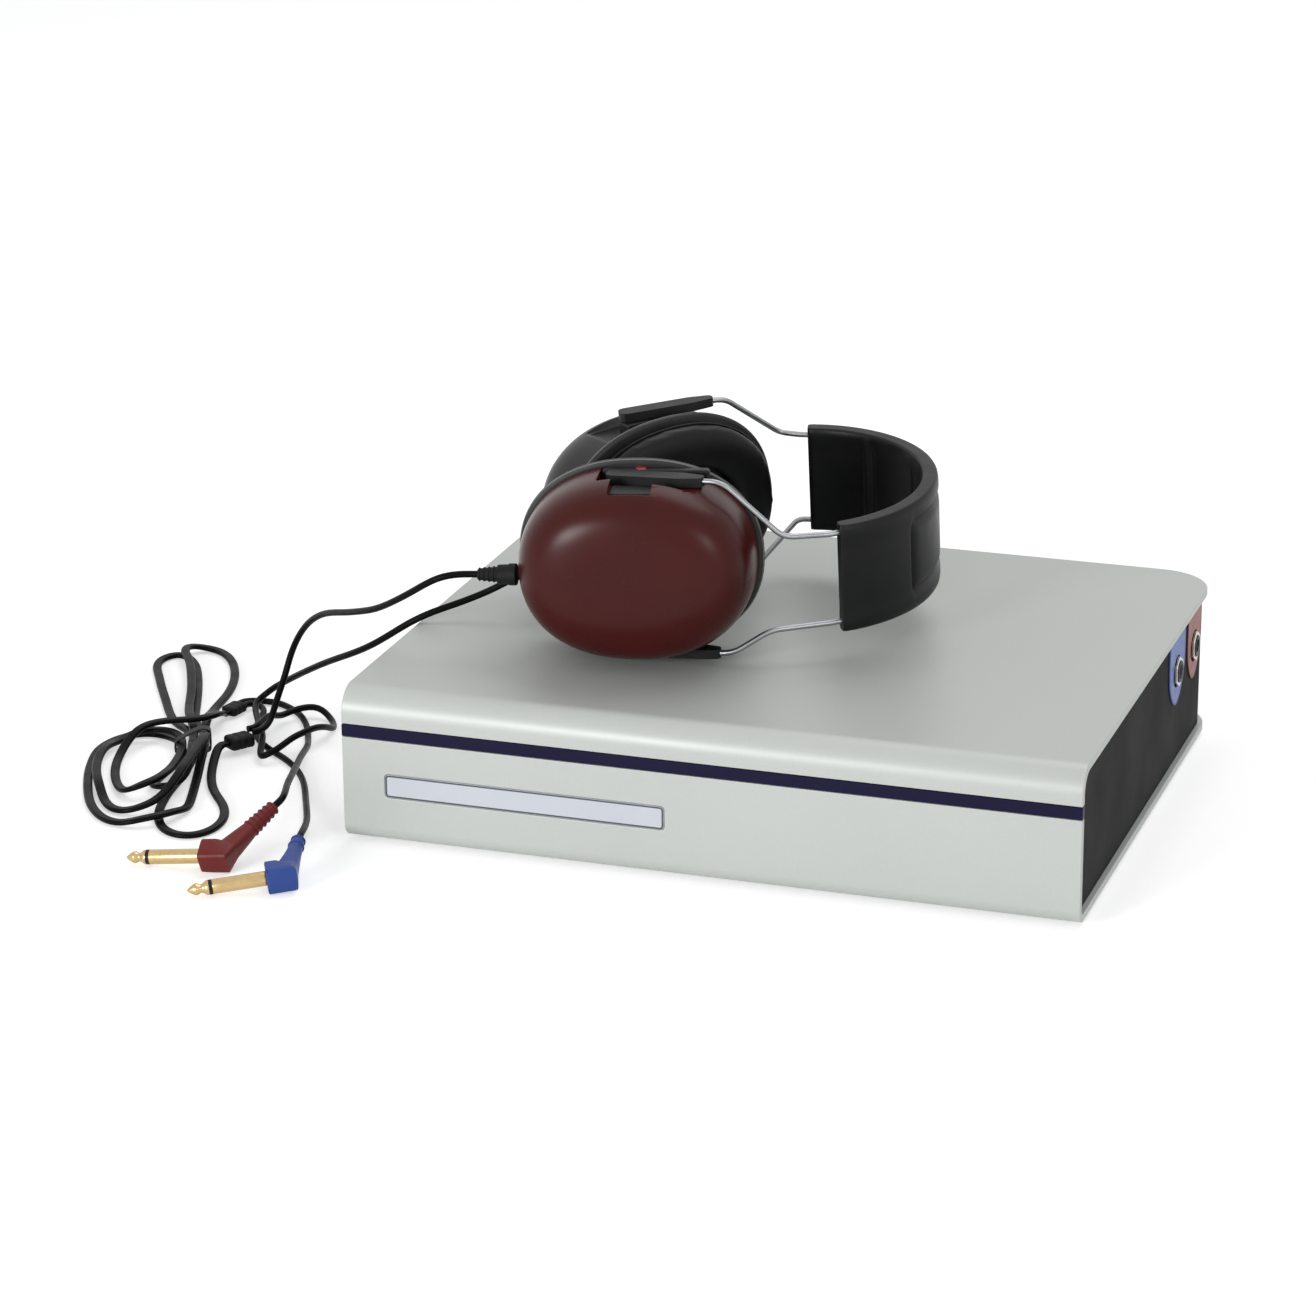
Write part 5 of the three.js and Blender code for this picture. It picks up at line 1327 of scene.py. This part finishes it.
# The padded field of the outside, and the lines pressed into the inside.
FIELD_FROM, FIELD_TO, FIELD_HALF = -14, 72, 15.5
INSIDE_LINES, INSIDE_GROOVE, INSIDE_HALF, INSIDE_EDGE = (46, 75.4, -4), 79, 19, 16.8
pad_matrix = Matrix.Translation(Vector(PAD_C) + Vector((0, 0, FOOT_H)))
pad_matrix = pad_matrix @ turn_about("Z", PAD_YAW) @ turn_about("X", PAD_ROLL)


def ridge(distance, width):
    """1 on a line, falling to 0 within about twice its width."""
    return math.exp(-(distance / width) ** 2)


def pressed_in(deg, z, outside):
    """How far the skin stands out at a place of the band, in mm."""
    push = 0
    if outside:
        # A border pressed in round the padded field, which swells towards its middle.
        within = FIELD_FROM < deg < FIELD_TO
        end = math.radians(min(abs(deg - FIELD_FROM), abs(deg - FIELD_TO))) * PAD_R
        near = min(end if abs(z) < FIELD_HALF else 99, abs(abs(z) - FIELD_HALF) if within else 99)
        push -= 1.05 * ridge(near, 0.75)
        if within and abs(z) < FIELD_HALF:
            push += 0.55 * min(1, near / 4)
    else:
        if abs(z) < INSIDE_HALF:
            near = min(math.radians(abs(deg - at)) * PAD_R for at in INSIDE_LINES)
            push += 0.8 * ridge(near, 0.8)
            push -= 0.9 * ridge(math.radians(abs(deg - INSIDE_GROOVE)) * PAD_R, 1.3)
        push += 0.35 * ridge(abs(abs(z) - INSIDE_EDGE), 0.7)
    return push


def pad_skin():
    """The sleeve: round edges that hold the wires, flat webs and a padded middle field that is
    pressed in along its border on the outside; pressed lines run across the inside."""
    rings = []
    steps = 150
    for i in range(steps + 1):
        deg = PAD_FROM + (PAD_TO - PAD_FROM) * i / steps
        t = math.radians(deg)
        end = min(i, steps - i) / steps * (PAD_TO - PAD_FROM)
        close = 0.72 + 0.28 * min(1, end / 1.6) ** 0.5
        ring = []
        # Along the section: outer face up, over the edge, inner face down.
        for across, up in squircle(72, 9):
            z = up * (PAD_HALF - 0.15)
            # The web between the wire edges is a little slimmer than the edges.
            web = 1 - 0.16 * (1 / (1 + math.exp((abs(z) / PAD_HALF - 0.72) * 40)))
            push = across * (PAD_T / 2 * close - 0.2) * web
            if abs(across) > 0.5:
                push += pressed_in(deg, z, across > 0)
            rad = PAD_R - PAD_T / 2 + push
            ring.append((rad * math.cos(t), rad * math.sin(t), z))
        rings.append(ring)
    return rings


pad = smooth(rings_mesh("headband_sleeve", pad_skin(), vinyl, pad_matrix), 50)
settle(pad, "case", "pad_cover", "headband_pad")


def rounded(points, reach):
    """The line with its inner corners rounded from reach mm before to reach mm after each."""
    out = [points[0]]
    for i in range(1, len(points) - 1):
        p = points[i]
        sides = points[i - 1] - p, points[i + 1] - p
        by = min(reach, *[v.length * 0.45 for v in sides])
        a, b = [p + v.normalized() * by for v in sides]
        out += [a * (1 - u) ** 2 + p * (2 * u * (1 - u)) + b * u ** 2 for u in [q / 8 for q in range(9)]]
    return out + [points[-1]]


def band_wire(name, w, right_bend, left_bend):
    """A wire from one slider through the band's edge to the other; a bend is given as the place
    where the wire leaves its slider and the point of its knee."""
    level = 1 if w > 0 else -1
    spine = [pad_matrix @ Vector((x, y, w)) for x, y in arc(0, 0, PAD_R - PAD_T / 2, PAD_FROM, PAD_TO, 57)]

    def leaves(side, bend_at):
        stands_off = side["rise"] if w > 0 else side["sag"]
        z = level * ((SLIDER_IN + SLIDER_OUT) / 2 + stands_off)
        on_slider = [slider_matrix(side) @ Vector((b, 0, z)) for b in (WIRE_END_B, bend_at[0])]
        return on_slider + [Vector(bend_at[1]) + Vector((0, 0, FOOT_H))]

    before = spine[0] + (spine[0] - spine[3]).normalized() * 4
    after = spine[-1] + (spine[-1] - spine[-4]).normalized() * 4
    head = rounded([*leaves(RIGHT, right_bend), before, spine[0]], 5)
    tail = rounded([spine[-1], after, *leaves(LEFT, left_bend)[::-1]], 5)
    made = smooth(swept(name + "_rod", head[:-1] + spine + tail[1:], circle(WIRE_R, 14), spring), 60)
    return settle(made, "case", "band_steel", name)


band_wire("upper_band_wire", WIRE_W, (36, (8, -43.8, 123.8)), (33.6, (-28.8, 70.4, 134.3)))
band_wire("lower_band_wire", -WIRE_W, (38.5, (3.2, -45.5, 82.3)), (42, (-21.5, 73, 92.5)))
